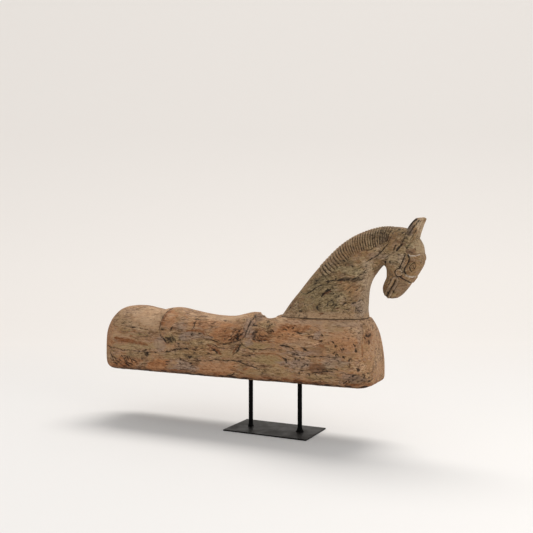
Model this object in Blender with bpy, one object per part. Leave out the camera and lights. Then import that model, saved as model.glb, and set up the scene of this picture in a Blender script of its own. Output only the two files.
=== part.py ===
"""Carved wooden horse on a steel stand.

The horse is two blocks of old wood: a long trunk with a carved saddle cloth, and a neck with the head
that sits on a flat seat at its front. Two round rods carry it above a flat steel plate.

Metres, +Z up, +X towards the head. The origin is the middle of the plate's underside. The carving is
drawn in millimetres: x is forward of the origin, and z is above the belly. HORSE_LENGTH and
HORSE_WIDTH scale that drawing.
"""

import math

import bpy
import numpy as np

# Stand
PLATE_LENGTH = 0.200
PLATE_WIDTH = 0.114
PLATE_THICKNESS = 0.003
PLATE_EDGE = 0.0004
ROD_DIAMETER = 0.010
ROD_SPACING = 0.121
ROD_FORWARD = 0.0005
ROD_SIDES = 20
REAR_WELD_DIAMETER = 0.0145
REAR_WELD_HEIGHT = 0.008
FRONT_WELD_DIAMETER = 0.019
FRONT_WELD_HEIGHT = 0.011
SOCKET_DEPTH = 0.035
ROD_CHAMFER = 0.0008

# Horse
HORSE_LENGTH = 0.774
HORSE_WIDTH = 0.150
BELLY_HEIGHT = 0.118
CLEARANCE = 0.0003

# The size at which the carving is drawn, in millimetres
DRAWN_LENGTH = 774.0
DRAWN_WIDTH = 150.0
RUMP_END = -437.0
CHEST_END = 242.0
SEAT = 139.0
SEAT_REAR = 19.0

# The line of the back, drawn as x and z: rump, notch, rear and front of the saddle, foot of the neck
BACK_LINE = [
    (-440, 147), (-400, 150), (-362, 151.5), (-330, 147), (-294, 140.5), (-288, 142), (-272, 147.5),
    (-252, 149), (-222, 144), (-180, 136.5), (-128, 132.5), (-95, 134.5), (-72, 140), (-52, 144.5),
    (-46, 144), (-39, 138.5), (-34, 137), (-28, 133), (-6, 133.5), (14, 138), (26, 143), (52, 150),
    (80, 152), (244, 152),
]
RUMP_PLAN = (45.0, 45.0)
RUMP_TOP = (56.0, 66.0)
RUMP_FOOT = (34.0, 26.0)
CHEST_PLAN = (52.0, 46.0)
CHEST_TOP = (47.0, 118.0)
CHEST_FOOT = (38.0, 16.0)
WIDEST_AT = 0.46

# Fullness of the trunk's sections: 2 is an ellipse, and more is squarer. Along x: rump to chest
TOP_FULLNESS = [(-437, 2.5), (-300, 2.6), (-60, 2.7), (20, 3.6), (150, 3.6), (242, 2.6)]
FOOT_FULLNESS = 6.5

# The saddle cloth, seen from the side
SADDLE = [
    (-294, 165), (-288, 141), (-272, 138), (-261, 128), (-259, 112), (-259, 97), (-250, 82), (-239, 71),
    (-205, 74), (-170, 84), (-144, 89), (-112, 84), (-97, 79), (-72, 79), (-50, 83), (-43, 96),
    (-39, 111), (-25, 128), (-26, 140), (-30, 165),
]
SADDLE_HEIGHT = 2.6
SADDLE_EDGE = 2.2
FRONT_EDGE = [(-30, 144), (-25, 128), (-39, 111), (-46, 94), (-50, 81)]
FLAP_EDGE = [(-160, 86), (-144, 89), (-112, 83), (-97, 78), (-72, 78), (-51, 82)]
CLOTH_LINE = [(-265, 86), (-264, 70), (-265, 52)]
GROOVE_WIDTH = 2.6
GROOVE_DEPTH = 2.4

# The girth: a strap that runs down from the saddle's front and tapers to a point
GIRTH = [
    (-22, 146), (-25, 128), (-39, 111), (-46, 94), (-50, 81), (-60, 68), (-74, 53),
    (-66, 48), (-50, 60), (-34, 76), (-22, 94), (-9, 115), (0, 132), (-4, 146),
]
GIRTH_HEIGHT = 1.6
GIRTH_EDGE = 2.0

# Old cracks that run along the near side
CRACKS = [
    [(-409, 58), (-382, 52), (-355, 47), (-311, 49), (-295, 45), (-265, 51)],
    [(-245, 52), (-192, 63), (-162, 58), (-149, 65), (-104, 61)],
    [(-176, 41), (-112, 42), (-66, 43), (-43, 40), (-6, 28)],
    [(2, 69), (50, 76), (78, 67), (96, 64), (128, 64), (186, 66)],
]
CRACK_WIDTH = 1.9
CRACK_DEPTH = 1.7

# Neck and head as a row of sections, each from the crest to the throat: x and z of the crest,
# x and z of the throat, half the thickness, fullness
NECK_ROW = [
    (19, 132, 216, 134, 62, 2.7),
    (29, 145, 215, 143, 60, 2.7),
    (49, 173, 214, 157, 55, 2.6),
    (75, 205, 215, 172, 50.5, 2.5),
    (102.5, 238, 216, 187, 46, 2.4),
    (130, 266.5, 218.5, 202, 42, 2.4),
    (156.5, 291, 223, 215, 39, 2.4),
    (185, 309.5, 228.5, 226, 36.5, 2.4),
    (217, 322.7, 235, 235, 34, 2.4),
    (250, 330, 242, 244, 31.5, 2.4),
    (278, 329.5, 248, 250, 30, 2.5),
    (300, 325.5, 251.5, 250.5, 29, 2.6),
    (317.5, 313, 255.5, 247, 28.5, 2.7),
    (330, 295, 257.5, 241, 28.5, 2.8),
    (334, 277, 258, 233, 28, 2.8),
    (334, 256, 257, 224, 26.5, 2.7),
    (324, 236, 252.5, 215, 24, 2.6),
    (311, 218, 249.5, 206, 22, 2.6),
    (300, 203, 249.5, 198, 21, 2.6),
    (289, 191, 251, 192, 19.5, 2.5),
    (279, 184, 255, 187, 16, 2.4),
    (270, 182.2, 259, 183.2, 9, 2.2),
]

# Mane: the first, middle and last strand, each from the crest to its lower end
MANE = [
    (113, 254, 140, 224),
    (152, 295, 160, 251),
    (192, 318, 196, 267),
    (230, 330, 222, 279),
    (262, 335, 243, 289),
    (292, 332, 263, 295),
]
STRANDS = 29
STRAND_WIDTH = 1.9
STRAND_DEPTH = 2.3
MANE_HEIGHT = 1.2
MANE_EDGE = 2.5

# Bridle: each strap's middle line, with its width
CHEEK_STRAP = [(307, 274), (301.5, 258), (295, 243)]
BROW_BAND = [(303, 272), (318, 272.5), (345, 273)]
NOSE_BAND = [(295, 231), (303, 223.5), (313, 219.5), (330, 220)]
STRAP_WIDTH = 9.0
STRAP_HEIGHT = 1.8
STRAP_EDGE = 1.3
RING = (290, 237)
RING_RADIUS = 6.8
RING_HEIGHT = 2.4

# Face
EYE = (317, 247)
EYE_RADIUS = 4.2
LID_RADIUS = 7.2
MOUTH = [(262, 187), (268, 200), (274, 212), (279, 220)]
NOSTRIL = (275, 196)
NOSTRIL_RADIUS = 2.6
EAR_CREASE = [(300, 286), (314, 292), (330, 303)]
JAW_LINE = [(262, 260), (258, 250), (262, 240), (272, 232), (284, 229)]
CHEEK = (281, 252)
CHEEK_RADIUS = 24.0
CHEEK_HEIGHT = 2.2

# Ears: x, z, half the width along x and across, from the root to the tip
EAR_ROW = [
    (302, 289, 6.0, 5.0),
    (305.5, 298, 9.8, 8.6),
    (309, 308, 11.6, 9.6),
    (312.5, 318, 11.4, 9.5),
    (316.5, 327, 10.6, 8.6),
    (321.5, 336, 9.2, 7.2),
    (327, 343.5, 7.2, 5.2),
    (331, 346.5, 4.0, 3.0),
]
EAR_SPREAD = (17.5, 13.0)
EAR_HOLLOW = 4.6
EAR_SIDES = 16
EAR_RINGS = 14

# How finely the carving is worked, and how many triangles each block keeps
TRUNK_GRID = (430, 150)
NECK_GRID = (460, 150)
TRUNK_TRIANGLES = 3500
NECK_TRIANGLES = 4700

WOOD = (0.36, 0.22, 0.13)
GREY_WOOD = (0.24, 0.19, 0.12)
STEEL = (0.02, 0.02, 0.022)


def drawn_to_metres(points):
    """Drawn x, y and z as metres in the object's frame."""
    along = HORSE_LENGTH / DRAWN_LENGTH
    across = HORSE_WIDTH / DRAWN_WIDTH
    scale = np.array([along, across, along])
    return np.asarray(points, float) * scale + np.array([0.0, 0.0, BELLY_HEIGHT])


def spline(rows, places):
    """Values of a Catmull-Rom curve through the rows. Place 0 is the first row and 1 the second."""
    rows = np.asarray(rows, float)
    padded = np.vstack([2 * rows[0] - rows[1], rows, 2 * rows[-1] - rows[-2]])
    places = np.asarray(places, float)
    first = np.clip(places.astype(int), 0, len(rows) - 2)
    part = (places - first)[:, None]
    before, here, there, after = (padded[first + i] for i in range(4))
    turn = 2 * before - 5 * here + 4 * there - after
    twist = 3 * here - before - 3 * there + after
    return here + 0.5 * part * (there - before + part * (turn + part * twist))


def line_height(line, x):
    """The height of a line drawn from left to right, at each x."""
    dense = spline(line, np.linspace(0, len(line) - 1, 24 * len(line)))
    return np.interp(x, dense[:, 0], dense[:, 1])


def corner_loss(distance, corner):
    """What a rounded corner takes off, this far in from the end. A corner is its length and depth."""
    length, depth = corner
    inside = np.clip((length - distance) / length, 0.0, 1.0)
    return depth * (1 - np.sqrt(1 - inside**2))


def smooth_step(value):
    """0 below -1, 1 above 1, and a smooth rise between."""
    share = np.clip(0.5 + 0.5 * value, 0.0, 1.0)
    return share * share * (3 - 2 * share)


def even_ring(ring, count):
    """The closed ring with its points spread evenly along it."""
    closed = np.vstack([ring, ring[:1]])
    steps = np.linalg.norm(np.diff(closed, axis=0), axis=1)
    run = np.concatenate([[0.0], np.cumsum(steps)])
    places = np.linspace(0, run[-1], count, endpoint=False)
    return np.stack([np.interp(places, run, closed[:, i]) for i in range(closed.shape[1])], axis=1)


def section(half_width, up, down, top_fullness, foot_fullness, count):
    """A full, rounded section as sideways and upward offsets from its widest level."""
    angle = np.linspace(-np.pi / 2, 3 * np.pi / 2, 8 * count, endpoint=False)
    power = np.where(np.sin(angle) > 0, 2 / top_fullness, 2 / foot_fullness)
    side = np.sign(np.cos(angle)) * np.abs(np.cos(angle)) ** power * half_width
    rise = np.sign(np.sin(angle)) * np.abs(np.sin(angle)) ** power
    rise *= np.where(rise > 0, up, down)
    return even_ring(np.stack([side, rise], axis=1), count)


def distance_to_line(points, line):
    """Distance in the side view from each point to a line of straight stretches."""
    nearest = np.full(points.shape[:-1], np.inf)
    line = np.asarray(line, float)
    for start, end in zip(line[:-1], line[1:]):
        run = end - start
        share = np.clip(((points - start) @ run) / (run @ run), 0.0, 1.0)
        gap = points - (start + share[..., None] * run)
        nearest = np.minimum(nearest, np.hypot(gap[..., 0], gap[..., 1]))
    return nearest


def inside_distance(points, loop):
    """Distance to a closed loop in the side view, positive inside it."""
    closed = np.vstack([loop, loop[:1]]).astype(float)
    inside = np.zeros(points.shape[:-1], bool)
    x, z = points[..., 0], points[..., 1]
    for (x0, z0), (x1, z1) in zip(closed[:-1], closed[1:]):
        crosses = (z0 > z) != (z1 > z)
        rise = z1 - z0 if z1 != z0 else 1.0
        inside ^= crosses & (x < x0 + (z - z0) / rise * (x1 - x0))
    away = distance_to_line(points, closed)
    return np.where(inside, away, -away)


def groove(points, line, width, depth):
    """A soft groove along a line, as a negative height."""
    return -depth * np.exp(-((distance_to_line(points, line) / width) ** 2))


def grid_normals(grid):
    """Outward normals of a grid of rings, row by row along the piece."""
    along = np.gradient(grid, axis=0)
    around = np.roll(grid, -1, axis=1) - np.roll(grid, 1, axis=1)
    normal = np.cross(around, along)
    return normal / np.maximum(np.linalg.norm(normal, axis=2, keepdims=True), 1e-9)


def place_along(low, high, count):
    """Places from low to high, closer together at both ends."""
    share = np.linspace(0, 1, count)
    eased = 0.5 - 0.5 * np.cos(np.pi * share)
    return low + (high - low) * (0.12 * share + 0.88 * eased)


def trunk_grid():
    """The trunk's surface, ring by ring from the rump to the chest."""
    rows, sides = TRUNK_GRID
    grid = np.empty((rows, sides, 3))
    for i, x in enumerate(place_along(RUMP_END, CHEST_END, rows)):
        rear = x - RUMP_END
        front = CHEST_END - x
        width = DRAWN_WIDTH / 2 - corner_loss(rear, RUMP_PLAN) - corner_loss(front, CHEST_PLAN)
        top = line_height(BACK_LINE, x) - corner_loss(rear, RUMP_TOP) - corner_loss(front, CHEST_TOP)
        foot = corner_loss(rear, RUMP_FOOT) + corner_loss(front, CHEST_FOOT) - 1.5
        level = foot + WIDEST_AT * (top - foot)
        stations, values = np.array(TOP_FULLNESS).T
        ring = section(
            width, top - level, level - foot, np.interp(x, stations, values), FOOT_FULLNESS, sides
        )
        grid[i, :, 0] = x
        grid[i, :, 1] = ring[:, 0]
        grid[i, :, 2] = level + ring[:, 1]
    return grid


def trunk_carving(grid, normal):
    """Height of the trunk's carving above its plain form."""
    seen = grid[..., [0, 2]]
    flank = smooth_step((np.abs(normal[..., 1]) - 0.35) / 0.2)
    near = flank * (grid[..., 1] < 0)
    cloth = smooth_step(inside_distance(seen, SADDLE) / SADDLE_EDGE)
    height = SADDLE_HEIGHT * (cloth - 0.5) * flank
    height = height + flank * groove(seen, FRONT_EDGE, GROOVE_WIDTH, GROOVE_DEPTH)
    height = height + flank * groove(seen, FLAP_EDGE, GROOVE_WIDTH, GROOVE_DEPTH * 0.6)
    height = height + flank * groove(seen, CLOTH_LINE, GROOVE_WIDTH, GROOVE_DEPTH * 0.4)
    height = height + flank * GIRTH_HEIGHT * smooth_step(inside_distance(seen, GIRTH) / GIRTH_EDGE)
    for crack in CRACKS:
        height = height + near * groove(seen, crack, CRACK_WIDTH, CRACK_DEPTH)
    return height


def neck_grid():
    """The surface of neck and head, ring by ring from the seat to the muzzle."""
    count, sides = NECK_GRID
    grid = np.empty((count, sides, 3))
    rows = spline(NECK_ROW, np.linspace(0, len(NECK_ROW) - 1, count))
    for i, (crest_x, crest_z, throat_x, throat_z, half, fullness) in enumerate(rows):
        crest = np.array([crest_x, 0.0, crest_z])
        throat = np.array([throat_x, 0.0, throat_z])
        reach = np.linalg.norm(crest - throat) / 2
        outward = (crest - throat) / (2 * reach)
        ring = section(half, reach, reach, fullness, fullness, sides)
        grid[i] = (crest + throat) / 2 + ring[:, 1:] * outward
        grid[i, :, 1] = ring[:, 0]
    return grid


def strand(share):
    """One groove of the mane, from the crest to its lower end. Share runs from 0 to 1."""
    crest_x, crest_z, end_x, end_z = spline(MANE, [share * (len(MANE) - 1)])[0]
    middle = ((crest_x + end_x) / 2 - 1.5, (crest_z + end_z) / 2 - 1.5)
    return [(crest_x, crest_z), middle, (end_x, end_z)]


def strap(seen, line):
    """A raised strap with a fine groove along both edges."""
    away = distance_to_line(seen, line) - STRAP_WIDTH / 2
    raised = STRAP_HEIGHT * smooth_step(-away / STRAP_EDGE)
    return raised - 0.8 * np.exp(-(((away - 1.2) / 1.3) ** 2))


def neck_carving(grid, normal):
    """Height of the carving of neck and head above their plain form."""
    seen = grid[..., [0, 2]]
    strands = [strand(i / (STRANDS - 1)) for i in range(STRANDS)]
    mane = [line[0] for line in strands] + [line[-1] for line in reversed(strands)]
    height = MANE_HEIGHT * smooth_step(inside_distance(seen, mane) / MANE_EDGE)
    for line in strands:
        height = height + groove(seen, line, STRAND_WIDTH, STRAND_DEPTH)

    head = smooth_step((grid[..., 0] - 262) / 6)
    away = np.hypot(seen[..., 0] - CHEEK[0], seen[..., 1] - CHEEK[1])
    height = height + CHEEK_HEIGHT * smooth_step((CHEEK_RADIUS - away) / 7)
    straps = [strap(seen, line) for line in (CHEEK_STRAP, BROW_BAND, NOSE_BAND)]
    height = height + head * np.maximum.reduce(straps)

    away = np.hypot(seen[..., 0] - RING[0], seen[..., 1] - RING[1])
    height = height + RING_HEIGHT * smooth_step((RING_RADIUS - away) / 1.2)
    height = height - 1.5 * np.exp(-((away / 2.2) ** 2))

    side = smooth_step((np.abs(normal[..., 1]) - 0.3) / 0.2)
    away = np.hypot(seen[..., 0] - EYE[0], (seen[..., 1] - EYE[1]) * 1.15)
    eye = 1.5 * np.exp(-(((away - LID_RADIUS) / 1.4) ** 2))
    eye = eye + 1.6 * smooth_step((EYE_RADIUS - away) / 1.5)
    eye = eye - 1.2 * np.exp(-(((away - LID_RADIUS - 3.4) / 1.8) ** 2))
    height = height + side * eye

    away = np.hypot(seen[..., 0] - NOSTRIL[0], seen[..., 1] - NOSTRIL[1])
    height = height - side * 2.2 * np.exp(-((away / NOSTRIL_RADIUS) ** 2))
    height = height + side * groove(seen, MOUTH, 1.7, 2.4)
    height = height + side * groove(seen, EAR_CREASE, 2.2, 1.6)
    height = height + side * groove(seen, JAW_LINE, 2.6, 1.2)
    return height


def ear_grid(side):
    """One ear, ring by ring from the root to the tip, with a hollow on its outer face."""
    rows = spline(EAR_ROW, np.linspace(0, len(EAR_ROW) - 1, EAR_RINGS))
    grid = np.empty((EAR_RINGS, EAR_SIDES, 3))
    angle = np.linspace(0, 2 * np.pi, EAR_SIDES, endpoint=False)
    for i, (x, z, half_x, half_y) in enumerate(rows):
        share = i / (EAR_RINGS - 1)
        middle = EAR_SPREAD[0] + share * (EAR_SPREAD[1] - EAR_SPREAD[0])
        grid[i, :, 0] = x + half_x * np.cos(angle)
        grid[i, :, 1] = middle + half_y * np.sin(angle)
        grid[i, :, 2] = z - 0.25 * half_x * np.cos(angle)
        rise = math.sin(math.pi * share) ** 0.7
        grid[i, :, 1] -= EAR_HOLLOW * rise * np.exp(-(((angle - 0.62 * np.pi) / 0.4) ** 2))
    if side < 0:
        grid = grid[:, ::-1] * np.array([1.0, -1.0, 1.0])
    return grid


def ring_mesh(name, grid):
    """A closed mesh from rings of points in metres, with a fan over each end."""
    count, sides = grid.shape[:2]
    points = np.vstack([grid.reshape(-1, 3), grid[0].mean(axis=0), grid[-1].mean(axis=0)])
    faces = []
    for i in range(count - 1):
        for j in range(sides):
            k = (j + 1) % sides
            faces.append((i * sides + j, i * sides + k, (i + 1) * sides + k, (i + 1) * sides + j))
    first, last = count * sides, count * sides + 1
    for j in range(sides):
        k = (j + 1) % sides
        faces.append((first, k, j))
        faces.append((last, (count - 1) * sides + j, (count - 1) * sides + k))
    mesh = bpy.data.meshes.new(name)
    mesh.from_pydata(points.tolist(), [], faces)
    if signed_volume(points, faces) < 0:
        mesh.flip_normals()
    mesh.shade_smooth()
    return mesh


def signed_volume(points, faces):
    """Six times the volume that the faces enclose, positive when they point out."""
    total = 0.0
    for face in faces:
        corners = points[list(face)]
        for i in range(1, len(face) - 1):
            total += np.dot(corners[0], np.cross(corners[i], corners[i + 1]))
    return total


def paint(thing, colour, roughness, metallic):
    """Gives the object a material of its own."""
    material = bpy.data.materials.new(thing.name)
    material.use_nodes = True
    shader = material.node_tree.nodes["Principled BSDF"]
    shader.inputs["Base Color"].default_value = (*colour, 1.0)
    shader.inputs["Roughness"].default_value = roughness
    shader.inputs["Metallic"].default_value = metallic
    thing.data.materials.append(material)


def add(name, mesh, helper=False):
    """Puts a mesh in the scene. A helper cuts or joins and is no piece of its own."""
    thing = bpy.data.objects.new(name, mesh)
    bpy.context.scene.collection.objects.link(thing)
    if helper:
        thing.hide_render = True
        thing.display_type = "WIRE"
    return thing


def box_mesh(name, low, high):
    """A box between two corners."""
    corners = [(x, y, z) for x in (low[0], high[0]) for y in (low[1], high[1]) for z in (low[2], high[2])]
    faces = [(0, 1, 3, 2), (4, 6, 7, 5), (0, 4, 5, 1), (2, 3, 7, 6), (0, 2, 6, 4), (1, 5, 7, 3)]
    mesh = bpy.data.meshes.new(name)
    mesh.from_pydata(corners, [], faces)
    return mesh


def turned_mesh(name, x, profile):
    """A turned piece about an upright axis at x. The profile is radius and height, bottom to top."""
    angle = np.linspace(0, 2 * np.pi, ROD_SIDES, endpoint=False)
    ring = np.stack([np.cos(angle), np.sin(angle), np.zeros_like(angle)], axis=1)
    grid = np.array([ring * radius + np.array([x, 0.0, height]) for radius, height in profile])
    return ring_mesh(name, grid)


def boolean(thing, other, operation):
    """Cuts the other object from this one, or joins it to this one."""
    modifier = thing.modifiers.new(other.name, "BOOLEAN")
    modifier.operation = operation
    modifier.object = other
    modifier.solver = "EXACT"


def carved(name, grid, carving, triangles):
    """A carved block: the grid moved along its normals by its carving, then thinned out."""
    normal = grid_normals(grid)
    normal *= np.sign(np.sum(normal * (grid - grid.mean(axis=1, keepdims=True)), axis=2, keepdims=True))
    grid = grid + normal * carving(grid, normal)[..., None]
    thing = add(name, ring_mesh(name, drawn_to_metres(grid)))
    faces = 2 * (grid.shape[0] - 1) * grid.shape[1] + 2 * grid.shape[1]
    thin = thing.modifiers.new("fewer faces", "DECIMATE")
    thin.ratio = triangles / faces
    return thing


def rod_places():
    """The rods' names and places along x, with the width and height of each one's weld."""
    return [
        ("rear", ROD_FORWARD - ROD_SPACING / 2, REAR_WELD_DIAMETER, REAR_WELD_HEIGHT),
        ("front", ROD_FORWARD + ROD_SPACING / 2, FRONT_WELD_DIAMETER, FRONT_WELD_HEIGHT),
    ]


def make_plate():
    half = PLATE_LENGTH / 2, PLATE_WIDTH / 2
    mesh = box_mesh("stand_plate", (-half[0], -half[1], 0.0), (half[0], half[1], PLATE_THICKNESS))
    plate = add("stand_plate", mesh)
    edge = plate.modifiers.new("edge", "BEVEL")
    edge.width = PLATE_EDGE
    edge.segments = 1
    paint(plate, STEEL, 0.5, 0.6)


def make_rods():
    radius = ROD_DIAMETER / 2
    foot = PLATE_THICKNESS + CLEARANCE
    top = BELLY_HEIGHT + SOCKET_DEPTH - CLEARANCE
    for end, x, weld_diameter, weld_height in rod_places():
        spread = weld_diameter / 2 - radius
        flare = [
            (radius + spread * (1 - share) ** 1.7, foot + weld_height * share)
            for share in np.linspace(0.0, 1.0, 4)
        ]
        profile = flare + [(radius, top - ROD_CHAMFER), (radius - ROD_CHAMFER, top)]
        rod = add(f"stand_rod_{end}", turned_mesh(f"stand_rod_{end}", x, profile))
        paint(rod, STEEL, 0.5, 0.6)


def make_trunk():
    trunk = carved("horse_trunk", trunk_grid(), trunk_carving, TRUNK_TRIANGLES)
    low, high = drawn_to_metres([(RUMP_END, -DRAWN_WIDTH, SEAT), (CHEST_END, DRAWN_WIDTH, 2 * SEAT)])
    rear = drawn_to_metres([(SEAT_REAR, 0, 0)])[0][0]
    margin = 0.02
    seat = box_mesh("neck_seat", (rear, low[1], low[2]), (high[0] + margin, high[1], high[2]))
    boolean(trunk, add("neck_seat", seat, helper=True), "DIFFERENCE")
    under = box_mesh(
        "under_belly", (low[0] - margin, low[1], 0.0), (high[0] + margin, high[1], BELLY_HEIGHT)
    )
    boolean(trunk, add("under_belly", under, helper=True), "DIFFERENCE")
    bore = ROD_DIAMETER / 2 + CLEARANCE
    for end, x, _, _ in rod_places():
        profile = [(bore, BELLY_HEIGHT - margin), (bore, BELLY_HEIGHT + SOCKET_DEPTH)]
        socket = turned_mesh(f"socket_{end}", x, profile)
        boolean(trunk, add(f"socket_{end}", socket, helper=True), "DIFFERENCE")
    paint(trunk, WOOD, 0.85, 0.0)


def make_neck_and_head():
    neck = carved("horse_neck_and_head", neck_grid(), neck_carving, NECK_TRIANGLES)
    low, high = drawn_to_metres([(RUMP_END, -DRAWN_WIDTH, 0), (CHEST_END, DRAWN_WIDTH, SEAT)])
    below = box_mesh("below_seat", (0.0, low[1], low[2]), (2 * high[0], high[1], high[2] + CLEARANCE))
    boolean(neck, add("below_seat", below, helper=True), "DIFFERENCE")
    for end, side in (("near", -1), ("far", 1)):
        ear = add(f"ear_{end}", ring_mesh(f"ear_{end}", drawn_to_metres(ear_grid(side))), helper=True)
        boolean(neck, ear, "UNION")
    paint(neck, GREY_WOOD, 0.85, 0.0)


def main():
    for thing in list(bpy.data.objects):
        bpy.data.objects.remove(thing)
    make_plate()
    make_rods()
    make_trunk()
    make_neck_and_head()


main()
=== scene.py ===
# %% [markdown]
# A carved wooden horse on a steel stand.
# The solids of the object are already made. This lesson dresses them: the two blocks of old wood get
# their worn relief, cracks and stains, the stand gets its black steel, and a pale floor, soft light
# and a camera complete the picture. The first step loads the solids and notes the box they fill,
# because nothing that is made here may grow out of it.

# %% Load the solids
import math

import bpy
import numpy as np
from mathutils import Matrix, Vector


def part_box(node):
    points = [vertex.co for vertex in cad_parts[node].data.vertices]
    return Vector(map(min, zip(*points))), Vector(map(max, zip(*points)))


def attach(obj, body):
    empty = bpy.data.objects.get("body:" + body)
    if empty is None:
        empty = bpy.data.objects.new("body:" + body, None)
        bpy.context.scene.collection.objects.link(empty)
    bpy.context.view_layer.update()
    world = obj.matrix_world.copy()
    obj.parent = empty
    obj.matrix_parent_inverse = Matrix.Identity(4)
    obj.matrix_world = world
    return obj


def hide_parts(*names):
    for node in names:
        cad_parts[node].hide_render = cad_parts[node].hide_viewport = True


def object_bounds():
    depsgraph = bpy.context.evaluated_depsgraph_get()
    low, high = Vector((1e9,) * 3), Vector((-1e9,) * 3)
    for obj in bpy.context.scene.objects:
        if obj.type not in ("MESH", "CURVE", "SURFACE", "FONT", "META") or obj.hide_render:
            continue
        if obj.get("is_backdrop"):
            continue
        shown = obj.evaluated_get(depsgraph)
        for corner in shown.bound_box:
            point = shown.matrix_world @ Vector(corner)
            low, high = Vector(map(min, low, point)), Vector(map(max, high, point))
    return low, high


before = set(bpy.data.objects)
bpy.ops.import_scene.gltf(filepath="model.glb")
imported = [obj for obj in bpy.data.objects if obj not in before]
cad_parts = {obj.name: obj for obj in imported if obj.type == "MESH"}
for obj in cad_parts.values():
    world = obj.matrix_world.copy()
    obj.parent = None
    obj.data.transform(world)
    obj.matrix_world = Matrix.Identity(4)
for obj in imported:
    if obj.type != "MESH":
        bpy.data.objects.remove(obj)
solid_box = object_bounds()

print("solids:", ", ".join(sorted(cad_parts)))

# %% [markdown]
# The camera comes first, because the marks on the wood are placed by looking through it.
# It stands level with the horse's neck, a little to the right of the middle, and looks almost
# straight ahead. Its place and its lens were worked out from the stand's plate, whose size is known.

# %% Camera
PHOTO_SIDE = 533
CAMERA_PLACE = (0.64408, -1.35892, 0.37158)
CAMERA_TURN = math.radians(26.0586)
CAMERA_TILT = math.radians(-0.232)
LENS_IN_PIXELS = 673.09
SENSOR_WIDTH = 36.0


def make_camera():
    data = bpy.data.cameras.new("camera")
    data.sensor_width = SENSOR_WIDTH
    data.lens = SENSOR_WIDTH * LENS_IN_PIXELS / PHOTO_SIDE
    data.clip_start = 0.05
    data.clip_end = 50.0
    camera = bpy.data.objects.new("camera", data)
    camera.location = CAMERA_PLACE
    camera.rotation_euler = (math.pi / 2 + CAMERA_TILT, 0.0, CAMERA_TURN)
    bpy.context.scene.collection.objects.link(camera)
    bpy.context.scene.camera = camera
    return camera


print("lens:", round(make_camera().data.lens, 2), "mm")

# %% [markdown]
# Every stain and crack can be described by where it is seen. This function gives, for any point of
# the object, its place in the picture in pixels, and how squarely the surface there faces the lens.
# With it, a mark can be drawn as a short list of pixels and still sit firmly on the carved surface.


# %% Where the camera sees a point
def seen_at(points, normals):
    turn, tilt = CAMERA_TURN, CAMERA_TILT
    ahead = np.array([-math.sin(turn) * math.cos(tilt), math.cos(turn) * math.cos(tilt), math.sin(tilt)])
    right = np.array([math.cos(turn), math.sin(turn), 0.0])
    up = np.cross(right, ahead)
    away = points - np.array(CAMERA_PLACE)
    depth = away @ ahead
    across = PHOTO_SIDE / 2 + LENS_IN_PIXELS * (away @ right) / depth
    down = PHOTO_SIDE / 2 - LENS_IN_PIXELS * (away @ up) / depth
    facing = -np.sum(normals * away, axis=-1) / np.linalg.norm(away, axis=-1)
    return np.stack([across, down], axis=-1), facing


# %% [markdown]
# The carving is drawn in millimetres on a side view of the horse: x runs forward from the middle of
# the stand and z runs up from the belly. The belly's height over the floor is read from the solids.

# %% Drawn millimetres to metres
BELLY_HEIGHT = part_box("horse_trunk")[0].z
MILLIMETRE = 0.001


def drawn_to_metres(points):
    return np.asarray(points, float) * MILLIMETRE + np.array([0.0, 0.0, BELLY_HEIGHT])


print("belly at", round(BELLY_HEIGHT, 4), "m")

# %% [markdown]
# A few plain tools follow. A soft step turns a distance into a bevelled edge, a smooth curve runs
# through a row of drawn values, and a lattice of seeded random numbers gives the lumpy unevenness
# that any hand-cut wood has.


# %% Steps, curves and lumps
LATTICE = 32
LUMP_SPREAD = 2.4


def soft_step(value):
    share = np.clip(0.5 + 0.5 * value, 0.0, 1.0)
    return share * share * (3 - 2 * share)


def smooth_rows(rows, count):
    """A smooth curve through drawn rows, as this many rows spread evenly along it."""
    rows = np.asarray(rows, float)
    places = np.linspace(0, len(rows) - 1 - 1e-6, count)
    padded = np.vstack([2 * rows[0] - rows[1], rows, 2 * rows[-1] - rows[-2]])
    first = places.astype(int)
    part = (places - first)[:, None]
    before, here, there, after = (padded[first + i] for i in range(4))
    turn = 2 * before - 5 * here + 4 * there - after
    twist = 3 * here - before - 3 * there + after
    return here + 0.5 * part * (there - before + part * (turn + part * twist))


def lumps(places, seed):
    lattice = np.random.default_rng(seed).random((LATTICE, LATTICE, LATTICE))
    base = np.floor(places).astype(int)
    part = places - base
    part = part * part * (3 - 2 * part)
    total = np.zeros(places.shape[:-1])
    for corner in np.ndindex(2, 2, 2):
        index = (base + np.array(corner)) % LATTICE
        share = np.where(np.array(corner) == 1, part, 1 - part).prod(axis=-1)
        total += share * lattice[index[..., 0], index[..., 1], index[..., 2]]
    return total


def rough(points, size, seed, layers=3):
    """Lumps of a size in millimetres and finer ones over them, from about -1 to 1."""
    total = sum(lumps(points / (np.asarray(size) / 2**i), seed + i) / 2**i for i in range(layers))
    return (total / (2 - 2.0 ** (1 - layers)) - 0.5) * LUMP_SPREAD


def waver(points, sizes, seed, layers=3):
    """Lumps for both directions of a flat view, which nudge drawn lines off their course."""
    return np.stack([rough(points, size, seed + 10 * i, layers) for i, size in enumerate(sizes)], axis=-1)


print("unevenness:", np.round(rough(np.array([[1.0, 2.0, 3.0], [9.0, 5.0, 2.0]]), 4.0, 5), 3))

# %% [markdown]
# Grooves, edges and stains are all drawn as lines or loops on a flat view. For each point of the
# surface these tools find the nearest place on a line, so a groove can be cut there, and tell whether
# the point lies inside a loop, so that a whole area can be raised.


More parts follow.
